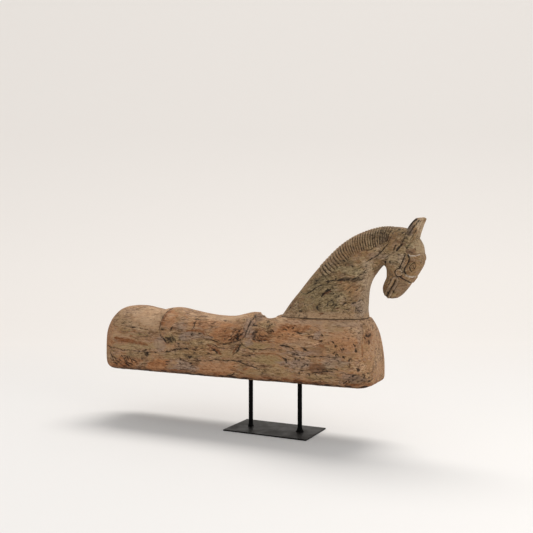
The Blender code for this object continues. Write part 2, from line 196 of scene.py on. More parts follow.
# %% Lines and loops
def nearest_on(points, line):
    """Distance to a line, and how far along the line the nearest place is, from 0 to 1."""
    line = np.asarray(line, float)
    steps = np.linalg.norm(np.diff(line, axis=0), axis=1)
    starts = np.concatenate([[0.0], np.cumsum(steps)])
    distance = np.full(points.shape[:-1], np.inf)
    along = np.zeros(points.shape[:-1])
    for start, end, length, gone in zip(line[:-1], line[1:], steps, starts):
        run = end - start
        share = np.clip(((points - start) @ run) / max(length * length, 1e-12), 0.0, 1.0)
        gap = points - (start + share[..., None] * run)
        here = np.hypot(gap[..., 0], gap[..., 1])
        closer = here < distance
        distance = np.where(closer, here, distance)
        along = np.where(closer, (gone + share * length) / max(starts[-1], 1e-9), along)
    return distance, along


def hump(away, middle, width):
    """1 where a distance is at the hump's middle, and near 0 beyond twice its width."""
    return np.exp(-(((away - middle) / width) ** 2))


def line_cut(flat, line, width):
    return hump(nearest_on(flat, line)[0], 0.0, width)


def inside(points, loop):
    """Distance to a closed loop, positive inside it."""
    closed = np.vstack([loop, loop[:1]]).astype(float)
    within = np.zeros(points.shape[:-1], bool)
    x, z = points[..., 0], points[..., 1]
    for (x0, z0), (x1, z1) in zip(closed[:-1], closed[1:]):
        crosses = (z0 > z) != (z1 > z)
        rise = z1 - z0 if z1 != z0 else 1.0
        within ^= crosses & (x < x0 + (z - z0) / rise * (x1 - x0))
    away = nearest_on(points, closed)[0]
    return np.where(within, away, -away)


# %% [markdown]
# Each block of wood is worked as a row of rings, like slices of bread. A ring is squarer or rounder
# according to its fullness. Points are packed closely on the side that the picture shows, looser on
# the other side, and loosest underneath, so that the detail goes where it is looked at.


# %% One ring of a block
NEAR_DETAIL = 2.4
FAR_DETAIL = 0.8
EDGE_DETAIL = 0.35


def ring(half_width, up, down, top_fullness, foot_fullness, count):
    angle = np.linspace(-np.pi / 2, 3 * np.pi / 2, 8 * count + 1)
    power = np.where(np.sin(angle) > 0, 2 / top_fullness, 2 / foot_fullness)
    side = np.sign(np.cos(angle)) * np.abs(np.cos(angle)) ** power * half_width
    rise = np.sign(np.sin(angle)) * np.abs(np.sin(angle)) ** power
    rise = rise * np.where(rise > 0, up, down)
    detail = np.where(side[1:] < 0, NEAR_DETAIL, FAR_DETAIL)
    steps = np.abs(np.diff(rise)) * detail + np.abs(np.diff(side)) * EDGE_DETAIL
    run = np.concatenate([[0.0], np.cumsum(steps)])
    places = np.linspace(0, run[-1], count, endpoint=False)
    return np.interp(places, run, side), np.interp(places, run, rise)


def outward(grid):
    along = np.gradient(grid, axis=0)
    around = np.roll(grid, -1, axis=1) - np.roll(grid, 1, axis=1)
    normal = np.cross(around, along)
    normal /= np.maximum(np.linalg.norm(normal, axis=2, keepdims=True), 1e-9)
    away = grid - grid.mean(axis=1, keepdims=True)
    return normal * np.sign(np.sum(normal * away, axis=2, keepdims=True))


# %% [markdown]
# A finished block becomes a mesh of four-sided faces with a fan over each end. Beside its points the
# mesh carries named layers of numbers, such as how dark or how rusty each point is. The material
# reads those layers later, so a stain stays exactly where its crack is.


# %% Rings to a mesh
def block(name, grid, layers, body="root"):
    count, sides = grid.shape[:2]
    points = np.vstack([grid.reshape(-1, 3), grid[0].mean(axis=0), grid[-1].mean(axis=0)])
    row, column = np.meshgrid(np.arange(count - 1), np.arange(sides), indexing="ij")
    beside = (column + 1) % sides
    faces = np.stack(
        [row * sides + column, row * sides + beside, (row + 1) * sides + beside, (row + 1) * sides + column],
        axis=-1,
    ).reshape(-1, 4)
    first, last = count * sides, count * sides + 1
    caps = [(first, (j + 1) % sides, j) for j in range(sides)]
    caps += [(last, first - sides + j, first - sides + (j + 1) % sides) for j in range(sides)]
    mesh = bpy.data.meshes.new(name)
    mesh.from_pydata(points.tolist(), [], faces.tolist() + caps)
    middle = faces[len(faces) // 2]
    corners = points[middle]
    facing = np.cross(corners[1] - corners[0], corners[3] - corners[0])
    centre = grid[count // 2].mean(axis=0)
    if facing @ (corners[0] - centre) < 0:
        mesh.flip_normals()
    for layer, values in layers.items():
        flat = values.reshape(-1)
        whole = np.concatenate([flat, [values[0].mean(), values[-1].mean()]]).astype(np.float32)
        mesh.attributes.new(layer, "FLOAT", "POINT").data.foreach_set("value", whole)
    mesh.shade_smooth()
    thing = bpy.data.objects.new(name, mesh)
    bpy.context.scene.collection.objects.link(thing)
    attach(thing, body)
    print(name, len(faces) * 2 + len(caps), "triangles")
    return thing


# %% [markdown]
# The trunk of the horse is one long, full block. Its back line dips at the saddle, and its corners
# are rounded most at the top of the rump and of the chest. The values are the ones that the solids
# were made from, so the dressed block fills the same space.

# %% Trunk: plain form
RUMP_END = -437.0
CHEST_END = 242.0
TRUNK_HALF_WIDTH = 75.0
SEAT = 139.0
SEAT_REAR = 19.0
BACK_LINE = [
    (-440, 147), (-400, 150), (-362, 151.5), (-330, 147), (-294, 140.5), (-288, 142), (-272, 147.5),
    (-252, 149), (-222, 144), (-180, 136.5), (-128, 132.5), (-95, 134.5), (-72, 140), (-52, 144.5),
    (-46, 144), (-39, 138.5), (-34, 137), (-28, 133), (-6, 133.5), (14, 138), (26, 143), (52, 150),
    (80, 152), (244, 152),
]
RUMP_PLAN, RUMP_TOP, RUMP_FOOT = (45.0, 45.0), (56.0, 66.0), (34.0, 26.0)
CHEST_PLAN, CHEST_TOP, CHEST_FOOT = (52.0, 46.0), (47.0, 118.0), (38.0, 16.0)
WIDEST_AT = 0.46
TOP_FULLNESS = [(-437, 2.5), (-300, 2.6), (-60, 2.7), (20, 3.6), (150, 3.6), (242, 2.6)]
FOOT_FULLNESS = 6.5
FOOT_DEPTH = 1.5
EVEN_SHARE = 0.75
TRUNK_ROWS, TRUNK_SIDES = 520, 188


def corner_loss(distance, corner):
    length, depth = corner
    share = np.clip((length - distance) / length, 0.0, 1.0)
    return depth * (1 - np.sqrt(1 - share**2))


def plain_trunk():
    share = np.linspace(0, 1, TRUNK_ROWS)
    eased = EVEN_SHARE * share + (1 - EVEN_SHARE) * (0.5 - 0.5 * np.cos(np.pi * share))
    back = smooth_rows(BACK_LINE, 600)
    grid = np.empty((TRUNK_ROWS, TRUNK_SIDES, 3))
    for i, x in enumerate(RUMP_END + (CHEST_END - RUMP_END) * eased):
        rear, front = x - RUMP_END, CHEST_END - x
        width = TRUNK_HALF_WIDTH - corner_loss(rear, RUMP_PLAN) - corner_loss(front, CHEST_PLAN)
        top = np.interp(x, back[:, 0], back[:, 1])
        top = top - corner_loss(rear, RUMP_TOP) - corner_loss(front, CHEST_TOP)
        foot = corner_loss(rear, RUMP_FOOT) + corner_loss(front, CHEST_FOOT) - FOOT_DEPTH
        level = foot + WIDEST_AT * (top - foot)
        stations, values = np.array(TOP_FULLNESS).T
        fullness = np.interp(x, stations, values)
        side, rise = ring(width, top - level, level - foot, fullness, FOOT_FULLNESS, TRUNK_SIDES)
        grid[i] = np.stack([np.full(TRUNK_SIDES, x), side, level + rise], axis=1)
    return grid


trunk = plain_trunk()
trunk_normal = outward(trunk)
print("plain trunk:", trunk.shape)

# %% [markdown]
# The saddle cloth is cut in low relief on both flanks: a raised field with a rounded rear edge, a
# groove along its front and a roll in front of that, from which the girth runs down to a point. The
# edges waver a little, as they do where a blade met hard and soft wood.

# %% Trunk: saddle cloth and girth
SADDLE = [
    (-294, 165), (-288, 141), (-272, 138), (-261, 128), (-259, 112), (-259, 97), (-250, 82), (-239, 71),
    (-205, 74), (-170, 84), (-144, 89), (-112, 84), (-97, 79), (-72, 79), (-50, 83), (-43, 96),
    (-39, 111), (-25, 128), (-26, 140), (-30, 165),
]
SADDLE_FRONT = [(-30, 144), (-25, 128), (-39, 111), (-46, 94), (-50, 81)]
SADDLE_FLAP = [(-160, 86), (-144, 89), (-112, 83), (-97, 78), (-72, 78), (-51, 82)]
CLOTH_LINE = [(-265, 86), (-264, 70), (-265, 52)]
GIRTH = [
    (-22, 146), (-25, 128), (-39, 111), (-46, 94), (-50, 81), (-60, 68), (-74, 53),
    (-66, 48), (-50, 60), (-34, 76), (-22, 94), (-9, 115), (0, 132), (-4, 146),
]
SADDLE_HEIGHT, SADDLE_EDGE = 2.6, 2.0
GIRTH_HEIGHT, GIRTH_EDGE = 1.6, 1.6
CLOTH_GROOVES = [(SADDLE_FRONT, 2.0, 2.6), (SADDLE_FLAP, 1.8, 1.4), (CLOTH_LINE, 1.4, 0.9)]
EDGE_WAVER = 1.3


def saddle_relief(grid, normal):
    flat = grid[..., [0, 2]] + EDGE_WAVER * waver(grid, (16.0, 14.0), 21)
    flank = soft_step((np.abs(normal[..., 1]) - 0.35) / 0.2)
    cloth = soft_step(inside(flat, SADDLE) / SADDLE_EDGE)
    height = SADDLE_HEIGHT * (cloth - 0.5) * flank
    for line, width, depth in CLOTH_GROOVES:
        height = height - flank * (depth * line_cut(flat, line, width))
    return height + flank * GIRTH_HEIGHT * soft_step(inside(flat, GIRTH) / GIRTH_EDGE)


trunk_height = saddle_relief(trunk, trunk_normal)
print("saddle relief:", np.round([trunk_height.min(), trunk_height.max()], 2), "mm")

# %% [markdown]
# Old wood is marked in a few ways that repeat: cracks that are deep and nearly black, shallow dark
# scratches, small holes, rusty streaks, and broad patches of olive, mauve grey, orange or pale wood.
# Each kind is described once, with the layer that it tints and the depth that it cuts.

# %% Kinds of mark
LAYERS = ("dark", "rust", "orange", "olive", "mauve", "pale")
MARK_KINDS = {
    "crack": ("dark", 0.9, 1.1),
    "scratch": ("dark", 0.85, 0.4),
    "hole": ("dark", 1.0, 1.6),
    "dark_patch": ("dark", 0.5, 0.1),
    "rust": ("rust", 0.95, 0.3),
    "orange": ("orange", 1.0, 0.0),
    "olive": ("olive", 1.0, 0.0),
    "mauve": ("mauve", 1.0, 0.0),
    "pale": ("pale", 1.0, 0.0),
}


STROKE_END = 0.45
PATCH_BREAK, PATCH_BORDER = 0.75, 0.28


def stroke(seen, line, width):
    """Cover of a stroke that narrows towards both ends, from 0 to 1."""
    line = np.asarray(line, float)
    reach = 3 * width
    cover = np.zeros(len(seen))
    near = np.all((seen > line.min(axis=0) - reach) & (seen < line.max(axis=0) + reach), axis=1)
    if len(line) == 1:
        gap = seen[near] - line[0]
        cover[near] = hump(np.hypot(gap[:, 0], gap[:, 1]), 0.0, width)
        return cover
    distance, along = nearest_on(seen[near], line)
    taper = STROKE_END + (1 - STROKE_END) * np.sqrt(np.clip(np.sin(np.pi * along), 0.0, 1.0))
    cover[near] = np.exp(-((distance / (width * taper)) ** 3))
    return cover


def patch(seen, centre, reach, broken):
    """Cover of a soft patch whose border is broken up, from 0 to 1."""
    gap = (seen - np.array(centre)) / np.array(reach)
    return soft_step((1.0 - np.hypot(gap[:, 0], gap[:, 1]) + PATCH_BREAK * broken) / PATCH_BORDER)


# %% [markdown]
# The marks are painted onto the points of a block in one go. A mark is a kind, a strength, a width
# and a line of pixels, and a patch is a kind, a strength, a centre and its reach. The pixels are
# nudged by fine lumps, so that a line of a few points comes out as crooked as a real crack.


# %% Paint marks onto a block
STROKE_SPREAD = 1.12
CROOKED_PIXELS, FINE_PIXELS = 0.7, 0.5
BROKEN_SIZE, WORN_SIZE = (24.0, 12.0, 9.0), (6.0, 4.0, 4.0)


def add_to(layers, name, values):
    layers[name] = np.maximum(layers[name], values)


def weather(grid, normal, marks, patches, seed):
    shape = grid.shape[:2]
    points = grid.reshape(-1, 3)
    seen, facing = seen_at(drawn_to_metres(points), normal.reshape(-1, 3))
    square = soft_step((facing - 0.1) / 0.1)
    seen = seen + CROOKED_PIXELS * waver(points, (13.0, 10.0), seed)
    seen = seen + FINE_PIXELS * waver(points, (4.4, 3.8), seed + 40, 2)
    broken = rough(points, BROKEN_SIZE, seed + 20, 4)
    patchy = 0.72 + 0.75 * rough(points, WORN_SIZE, seed + 30, 2)
    worn_line, worn_spot = np.clip(patchy, 0.45, 1.0), np.clip(patchy + 0.4, 0.75, 1.0)
    layers = {name: np.zeros(len(points)) for name in LAYERS}
    height = np.zeros(len(points))
    for kind, strength, centre, reach in patches:
        layer, tint, _ = MARK_KINDS[kind]
        add_to(layers, layer, patch(seen, centre, reach, broken) * square * strength * tint)
    for kind, strength, width, line in marks:
        layer, tint, depth = MARK_KINDS[kind]
        worn = worn_line if kind in ("crack", "scratch") else worn_spot
        cover = stroke(seen, line, STROKE_SPREAD * width) * square * worn
        add_to(layers, layer, cover * strength * tint)
        height = height - cover * strength * depth
    return {name: values.reshape(shape) for name, values in layers.items()}, height.reshape(shape)


# %% [markdown]
# Some places are covered with many small scratches that run roughly one way. They are strewn inside
# an oval by a seeded hand, so they fall in the same places each time.


# %% Strewn scratches
LEAN_SPREAD, BEND_SPREAD = 14, 0.12
LENGTH_RANGE, STRENGTH_RANGE, WIDTH_RANGE = (0.4, 1.2), (0.55, 1.0), (0.7, 1.2)


def strewn(kind, centre, reach, count, slope, length, width, seed, strength=0.9):
    hand = np.random.default_rng(seed)
    marks = []
    for _ in range(count):
        turn, out = hand.uniform(0, 2 * np.pi), math.sqrt(hand.random())
        x = centre[0] + reach[0] * out * math.cos(turn)
        y = centre[1] + reach[1] * out * math.sin(turn)
        lean = math.radians(slope + hand.normal(0, LEAN_SPREAD))
        half = length * hand.uniform(*LENGTH_RANGE) / 2
        dx, dy = half * math.cos(lean), half * math.sin(lean)
        bend = hand.normal(0, BEND_SPREAD) * half
        line = [(x - dx, y - dy), (x - bend, y + bend), (x + dx, y + dy)]
        mark = strength * hand.uniform(*STRENGTH_RANGE), width * hand.uniform(*WIDTH_RANGE)
        marks.append((kind, *mark, line))
    return marks


def strewn_over(rows):
    return [mark for row in rows for mark in strewn(*row)]


print("a strewn scratch:", np.round(strewn("scratch", (0, 0), (4, 2), 1, 0, 5, 0.5, 3)[0][3], 2).tolist())

# %% [markdown]
# The rump has pale sandy wood with fine wavy grain, a red streak, an olive band and a long crack
# that runs out of its rear end and past a small knot. Its lower corner is scored by many dark,
# slanting scratches.

# %% Marks on the rump
RUMP_MARKS = [
    ("crack", 0.9, 0.55, [(106, 345), (111, 347.2), (116, 347.8), (122.2, 350.4), (128.9, 350)]),
    ("crack", 0.8, 0.5, [(127, 350), (136.7, 351.1), (144.4, 351.7), (150, 352.6), (157, 352.2)]),
    ("hole", 1.0, 1.1, [(146.7, 353.4)]),
    ("scratch", 0.7, 0.5, [(144.3, 352.6), (145, 355), (147.5, 355.6), (149.4, 354)]),
    ("scratch", 0.6, 0.5, [(120, 323.6), (124, 323), (127.8, 323.9)]),
    ("scratch", 0.9, 0.5, [(122, 328), (126.4, 328.4)]),
    ("scratch", 0.9, 0.5, [(129.4, 327), (133, 327.4), (137.8, 327.2)]),
    ("scratch", 1.0, 0.55, [(139.4, 327.8), (143, 328.6), (147.5, 329)]),
    ("scratch", 0.5, 0.5, [(121, 325.6), (128, 326.2), (132, 325.4)]),
    ("scratch", 0.5, 0.5, [(122, 332), (130, 330.8), (139, 333), (146, 332.4)]),
    ("scratch", 0.5, 0.5, [(129, 334.6), (137, 333.4), (144, 335.6)]),
    ("scratch", 0.5, 0.5, [(137.8, 336), (144, 336.6), (149, 336)]),
    ("olive", 1.0, 1.0, [(122, 329.4), (131, 329.8)]),
    ("olive", 1.0, 0.9, [(139, 330.2), (147, 331)]),
    ("olive", 1.0, 1.0, [(127, 334), (140, 334.8), (148, 334)]),
    ("olive", 0.9, 1.2, [(133, 345), (146, 347), (156, 348)]),
    ("rust", 1.0, 1.7, [(114.4, 337.8), (120, 338.9), (126.7, 341.1), (136.7, 342.2), (146.7, 345)]),
    ("rust", 1.0, 2.1, [(116, 339), (124, 340.2), (133, 341.4)]),
    ("scratch", 0.35, 0.45, [(157.8, 337), (157.4, 345), (157.2, 352.2)]),
    ("scratch", 0.25, 0.45, [(136, 337.6), (147, 337.4), (157.6, 337.2)]),
    ("scratch", 0.7, 0.6, [(110, 352), (111.5, 356), (113, 361), (117, 365)]),
    ("rust", 0.35, 1.4, [(108.4, 322), (107.6, 332), (107.8, 343)]),
    ("rust", 0.4, 1.2, [(110, 318), (117, 311), (124, 307.6)]),
    ("scratch", 0.8, 0.6, [(165.5, 361.7), (168.9, 361.6)]),
    ("scratch", 0.8, 0.6, [(165, 364.2), (168, 364.6)]),
    ("scratch", 0.7, 0.6, [(164, 367), (167.6, 367.2)]),
]
RUMP_STREWN = [
    ("scratch", (124, 361.5), (11, 5), 28, 42, 6.5, 0.5, 41),
    ("rust", (120, 362), (12, 5.5), 14, 38, 7.0, 0.9, 42, 0.7),
    ("scratch", (134, 310.5), (8, 3.4), 16, 10, 3.2, 0.5, 43, 0.45),
    ("scratch", (128, 327), (10, 6), 14, 4, 4.0, 0.42, 44, 0.6),
    ("rust", (157, 364.5), (9, 4), 12, -8, 5.0, 0.8, 45, 0.7),
    ("scratch", (112, 327), (4, 10), 14, 70, 3.5, 0.5, 46, 0.45),
]
RUMP_MARKS += strewn_over(RUMP_STREWN)
RUMP_PATCHES = [
    ("mauve", 0.4, (134, 310.5), (9, 4)),
    # Pale wood along the top of the rump, partly painted light falling from above.
    ("pale", 0.5, (124, 308), (18, 5)),
    ("pale", 0.3, (138, 346), (24, 5)),
    ("pale", 0.85, (149, 317), (18, 11)),
    ("pale", 0.4, (126, 317), (14, 10)),
    ("pale", 0.5, (121, 336), (14, 4)),
    ("olive", 0.3, (134, 326), (15, 4)),
    ("olive", 0.9, (138, 346.5), (24, 3.6)),
    ("olive", 0.5, (136, 355), (14, 3)),
    # The orange and pale strip down the rump's rear end is painted light along that edge.
    ("orange", 0.6, (109, 332), (4, 18)),
    ("pale", 0.35, (110, 326), (4, 16)),
    ("orange", 0.95, (124, 362), (18, 5)),
    ("orange", 1.0, (157, 364), (10, 4.5)),
    ("mauve", 0.7, (160, 345), (6, 9)),
]
print("rump:", len(RUMP_MARKS), "marks,", len(RUMP_PATCHES), "patches")

# %% [markdown]
# The saddle field is warmer. An orange rim follows its rear edge, a dark olive knot lies behind the
# flap, and curved grain gathers in front, where deep slanting gouges meet the roll. Three long
# cracks run below it, one of them almost to the belly.

# %% Marks on the saddle
SADDLE_MARKS = [
    ("crack", 0.75, 0.6, [(173.3, 307.6), (166.7, 312.2), (162.2, 317.8), (160, 324.4), (159.4, 332.2)]),
    ("crack", 0.7, 0.6, [(159.4, 331), (161.1, 336.7), (164, 340.4), (167.4, 344.4)]),
    ("rust", 0.8, 1.3, [(172, 310.4), (167.4, 313.6), (163.8, 318.6), (161.6, 325)]),
    ("orange", 1.0, 1.8, [(174, 311), (168.6, 315), (165.4, 320), (163.4, 326)]),
    ("hole", 0.8, 0.9, [(162.6, 329.6)]),
    ("crack", 1.0, 0.75, [(162, 335.8), (164.6, 339.6), (167.2, 343.8)]),
    ("crack", 1.0, 0.8, [(165.6, 337), (168.4, 339), (171.2, 337.4)]),
    ("scratch", 1.0, 0.7, [(168, 343.4), (170.6, 341.4), (172.4, 341.8)]),
    ("hole", 0.7, 0.7, [(163.9, 329.4)]),
    ("scratch", 1.0, 0.8, [(172.4, 326.4), (171.4, 328), (170.4, 330)]),
    ("scratch", 0.6, 0.5, [(175.6, 317.2), (179, 317), (182, 317.6), (185.6, 317.2)]),
    ("scratch", 0.5, 0.5, [(181, 320), (186, 319.6)]),
    ("scratch", 0.5, 0.5, [(193, 316.6), (198, 317), (204, 316.2)]),
    ("scratch", 0.9, 0.6, [(196.2, 321.4), (195.2, 324.2), (194.4, 327.2)]),
    ("scratch", 0.7, 0.5, [(193.2, 323.4), (195.4, 324.4)]),
    ("scratch", 0.7, 0.7, [(213.4, 323), (215.4, 322.6)]),
    ("scratch", 0.6, 0.6, [(220.5, 323.8), (222, 322.6)]),
    ("scratch", 0.9, 0.7, [(223.8, 321), (228, 321)]),
    ("scratch", 0.5, 0.5, [(225, 323.4), (223.6, 325.2)]),
    ("scratch", 0.8, 0.5, [(226.8, 328.4), (225.4, 331), (224.4, 332.4)]),
    ("rust", 1.0, 1.1, [(186.7, 331.2), (193.3, 330.6), (200, 330.4), (203.3, 332.2), (204.3, 335.4)]),
    ("crack", 0.9, 0.6, [(201.1, 337.6), (206.7, 338.9), (213.3, 340.7), (218.9, 342.8)]),
    ("scratch", 0.7, 0.55, [(217, 342.4), (224.4, 343.9), (231.1, 342.8), (236, 341)]),
    ("scratch", 0.6, 0.5, [(210, 343.4), (217.8, 347), (225.6, 349.2), (233.3, 347.8), (238, 343.9)]),
    ("rust", 1.0, 1.3, [(206.7, 344.4), (212.2, 347.8), (217.8, 351.1), (221.1, 354.8)]),
    ("scratch", 0.7, 0.5, [(207.6, 346), (213.6, 350), (218, 353)]),
    ("scratch", 0.9, 0.7, [(177.4, 344.4), (179.4, 344)]),
    ("scratch", 0.9, 0.6, [(181.6, 343.4), (184.4, 342.8), (186.4, 343.6)]),
    ("rust", 0.8, 0.8, [(186.6, 344), (189.6, 344)]),
    ("crack", 1.0, 0.55, [(164.2, 351.8), (168.9, 352), (173.3, 350), (182.2, 348.3), (188.9, 348.9)]),
    ("crack", 0.8, 0.5, [
        (188, 348.8), (195.6, 350.7), (200, 348.4), (205.6, 348.9), (214.4, 351.2), (218.9, 354.6),
    ]),
    ("scratch", 0.9, 0.8, [(187, 356), (189.6, 357.4), (191.4, 356.6)]),
    ("scratch", 0.9, 0.6, [(181.6, 360), (183.6, 360.6), (185.6, 361.4)]),
    ("rust", 0.9, 0.8, [(190.2, 363.4), (192.2, 364.6)]),
    ("crack", 0.7, 0.5, [(192.2, 360.6), (202.2, 361.2), (208.9, 360.6), (215.6, 359.4), (223.3, 360.6)]),
    ("crack", 1.0, 0.55, [
        (214, 359.6), (223.3, 360.6), (233.3, 360.6), (240, 362.2), (247.8, 365.6), (257, 369),
    ]),
    ("crack", 0.6, 0.5, [(255, 368), (262, 369.4), (269.4, 370)]),
    ("crack", 0.9, 0.7, [(225.6, 376.7), (230, 375.6), (234.6, 372.8)]),
    ("crack", 0.9, 0.8, [(242.4, 328.6), (239.4, 331.4), (237.6, 334)]),
    ("crack", 0.8, 0.7, [(243.6, 331.8), (240.4, 335.4), (236.4, 338.6), (231.6, 341.4)]),
    ("scratch", 0.9, 0.7, [(228.6, 340.6), (233, 337.4), (238.6, 334.4)]),
    ("scratch", 0.9, 0.6, [(233.4, 343.6), (237.4, 341.2), (241, 339)]),
    ("scratch", 0.5, 0.5, [(205, 332), (212, 338), (219, 340.6), (227, 338.6), (233, 333.6)]),
    ("scratch", 0.4, 0.5, [(209, 330), (216, 335.6), (223, 336.8), (230, 332.6)]),
    ("rust", 0.8, 1.0, [(232, 353.6), (235.4, 349), (238.6, 345)]),
]
SADDLE_STREWN = [
    ("scratch", (170.6, 338.6), (6, 4.6), 24, 46, 3.8, 0.65, 51, 1.0),
    ("crack", (237, 335), (7, 6.5), 22, -42, 6.0, 0.5, 52, 0.9),
    ("rust", (228, 336), (13, 7), 20, -24, 7.0, 0.8, 53, 0.7),
    ("scratch", (189, 322), (16, 6), 16, 4, 4.0, 0.42, 54, 0.5),
    ("scratch", (221, 368), (20, 6), 16, 2, 3.0, 0.45, 55, 0.4),
    ("rust", (222, 369), (22, 6), 14, 2, 5.0, 0.8, 56, 0.5),
    ("scratch", (196, 354.6), (22, 4), 14, 5, 4.0, 0.45, 57, 0.5),
    ("scratch", (205, 327), (12, 5), 12, 10, 3.0, 0.45, 58, 0.5),
]
SADDLE_MARKS += strewn_over(SADDLE_STREWN)
SADDLE_PATCHES = [
    # Pale wood along the top of the saddle, partly painted light falling from above.
    ("pale", 0.8, (224, 317), (24, 4)),
    ("orange", 0.5, (171, 321), (7, 9)),
    ("orange", 0.75, (226, 334), (17, 9)),
    ("orange", 0.5, (205, 324), (18, 5)),
    ("mauve", 0.85, (192, 336.6), (14, 4)),
    ("mauve", 0.5, (180, 326), (8, 4)),
    ("olive", 0.8, (172, 338.6), (8, 5)),
    ("olive", 0.6, (197, 343), (18, 5)),
    ("orange", 0.5, (205, 350), (16, 5)),
    ("olive", 0.6, (184, 353.6), (26, 4)),
    ("olive", 0.5, (223, 354), (12, 4)),
    ("mauve", 0.95, (183, 366.6), (13, 5.6)),
    ("orange", 0.75, (220, 368), (26, 6)),
    ("pale", 0.35, (216, 366), (18, 5)),
    ("olive", 0.6, (253, 373), (9, 4)),
    ("dark_patch", 0.7, (172, 338.8), (5.5, 4)),
    ("dark_patch", 0.5, (189, 356.8), (4, 1.8)),
]
print("saddle:", len(SADDLE_MARKS), "marks,", len(SADDLE_PATCHES), "patches")

# %% [markdown]
# In front of the saddle the wood is the most mixed: a grey roll, an orange field under the neck, an
# olive lens bounded by long cracks, knots, worm holes and a brown bruise near the belly. The chest
# turns away to the right and shows upright grain.

# %% Marks on the shoulder and chest
SHOULDER_MARKS = [
    ("crack", 0.8, 0.7, [(256.2, 314), (251.7, 321.1), (248.3, 326.7), (246.1, 333.3), (242.6, 340)]),
    ("scratch", 0.6, 0.5, [(259.2, 317), (254, 323.4), (250.6, 329), (248, 335)]),
    ("scratch", 0.8, 0.6, [(259.6, 313.6), (262.4, 315.6), (266.4, 318)]),
    ("scratch", 0.6, 0.6, [(256.6, 319), (260, 318.4)]),
    ("crack", 0.7, 0.6, [(239.4, 341), (242.8, 345), (249.4, 348.9), (259.4, 350), (268.3, 348.3)]),
    ("crack", 0.7, 0.5, [(267, 348.4), (273.9, 348.9), (285, 351.1), (292.8, 353.3), (301.7, 356.1)]),
    ("crack", 0.8, 0.5, [(300, 356), (312.8, 356.7), (326, 357), (340.6, 357.2)]),
    ("crack", 1.0, 0.7, [(279.2, 345.2), (285, 345.6), (289.6, 347.4), (293.4, 349.2)]),
    ("crack", 0.9, 0.7, [(242.4, 343), (239.4, 347), (236.1, 352.2), (232.4, 355)]),
    ("pale", 0.7, 0.6, [(240.6, 346), (237.4, 349.6), (234.4, 353)]),
    ("crack", 0.9, 0.8, [(253, 324.7), (257.4, 324.9)]),
    ("hole", 0.7, 1.3, [(253.9, 335.8)]),
    ("hole", 0.5, 0.8, [(259.4, 335.4)]),
    ("hole", 0.7, 1.2, [(270.4, 331)]),
    ("scratch", 0.7, 0.6, [(266.6, 331), (268, 333), (271.6, 332.6)]),
    ("scratch", 0.6, 0.5, [(268.4, 319), (269.6, 324), (270, 328.6)]),
    ("crack", 0.7, 0.8, [(282.4, 328.6), (284.4, 329.2), (287.4, 330.6)]),
    ("scratch", 0.6, 0.8, [(281.4, 334), (283, 336)]),
    ("rust", 0.9, 0.9, [(256, 339.6), (261, 340.2), (266.6, 339)]),
    ("scratch", 0.8, 0.6, [(257, 340.6), (262, 341), (268, 339.6)]),
    ("crack", 0.8, 0.9, [(322.4, 334.4), (323.2, 336.4)]),
    ("hole", 0.8, 1.2, [(305.2, 349.4)]),
    ("scratch", 0.8, 0.9, [(303.6, 347), (306.4, 350.6), (309, 351.6)]),
    ("rust", 1.0, 1.3, [(319, 345), (321.7, 346.7), (324, 346)]),
    ("scratch", 0.8, 0.9, [(331.8, 341), (333.2, 343.4)]),
    ("hole", 0.6, 0.9, [(348.2, 338.6)]),
    ("hole", 0.8, 1.2, [(355, 345.6)]),
    ("hole", 0.8, 1.2, [(356.3, 351.2)]),
    ("hole", 0.7, 1.1, [(342.8, 349.2)]),
    ("hole", 0.6, 0.9, [(334, 352.6)]),
    ("hole", 0.9, 1.2, [(343, 357.4)]),
    ("hole", 0.7, 1.1, [(349.4, 361)]),
    ("rust", 0.9, 1.2, [(350, 365.4)]),
    ("hole", 0.9, 1.2, [(358.6, 370)]),
    ("scratch", 0.7, 0.7, [(360.4, 369), (357, 371)]),
    ("scratch", 0.7, 1.0, [(293.8, 358), (295.4, 360)]),
    ("scratch", 0.9, 1.1, [(282.6, 357.4), (285, 360), (286.6, 362.6)]),
    ("scratch", 0.7, 0.9, [(306.6, 360), (308, 361.4)]),
    ("rust", 0.7, 0.8, [(249, 354), (262, 353.6), (275, 354), (282, 357)]),
    ("scratch", 0.7, 1.0, [(241.7, 355.6), (246, 354.8), (250, 355.8)]),
    ("crack", 0.6, 0.5, [(261.7, 372.2), (266, 374.6), (270.6, 377.8)]),
    ("scratch", 0.7, 0.5, [(300.6, 366.7), (304, 365.6), (308.3, 363.3)]),
    ("crack", 0.9, 0.6, [(311.7, 374), (318.3, 372.2), (330.6, 371.7)]),
    ("scratch", 0.7, 0.5, [(321.7, 369.4), (332.8, 368.9), (338.3, 371.1), (345, 373.9)]),
    ("scratch", 0.8, 0.5, [(344, 373.8), (353.9, 375.4), (362.8, 375), (371.7, 372.2), (377.2, 367.8)]),
    ("rust", 0.8, 0.9, [(362.2, 345), (362.6, 350), (362.9, 356)]),
    ("scratch", 0.5, 0.5, [(368, 318.6), (371.6, 322.4), (372.8, 327.8), (372.4, 333)]),
    ("scratch", 0.6, 0.5, [(373.6, 357), (374.4, 361), (377.2, 366.7)]),
    ("scratch", 0.5, 0.45, [(377.2, 366), (379.6, 369)]),
    ("scratch", 0.4, 0.45, [(363.4, 326), (363, 336), (362.6, 346)]),
]
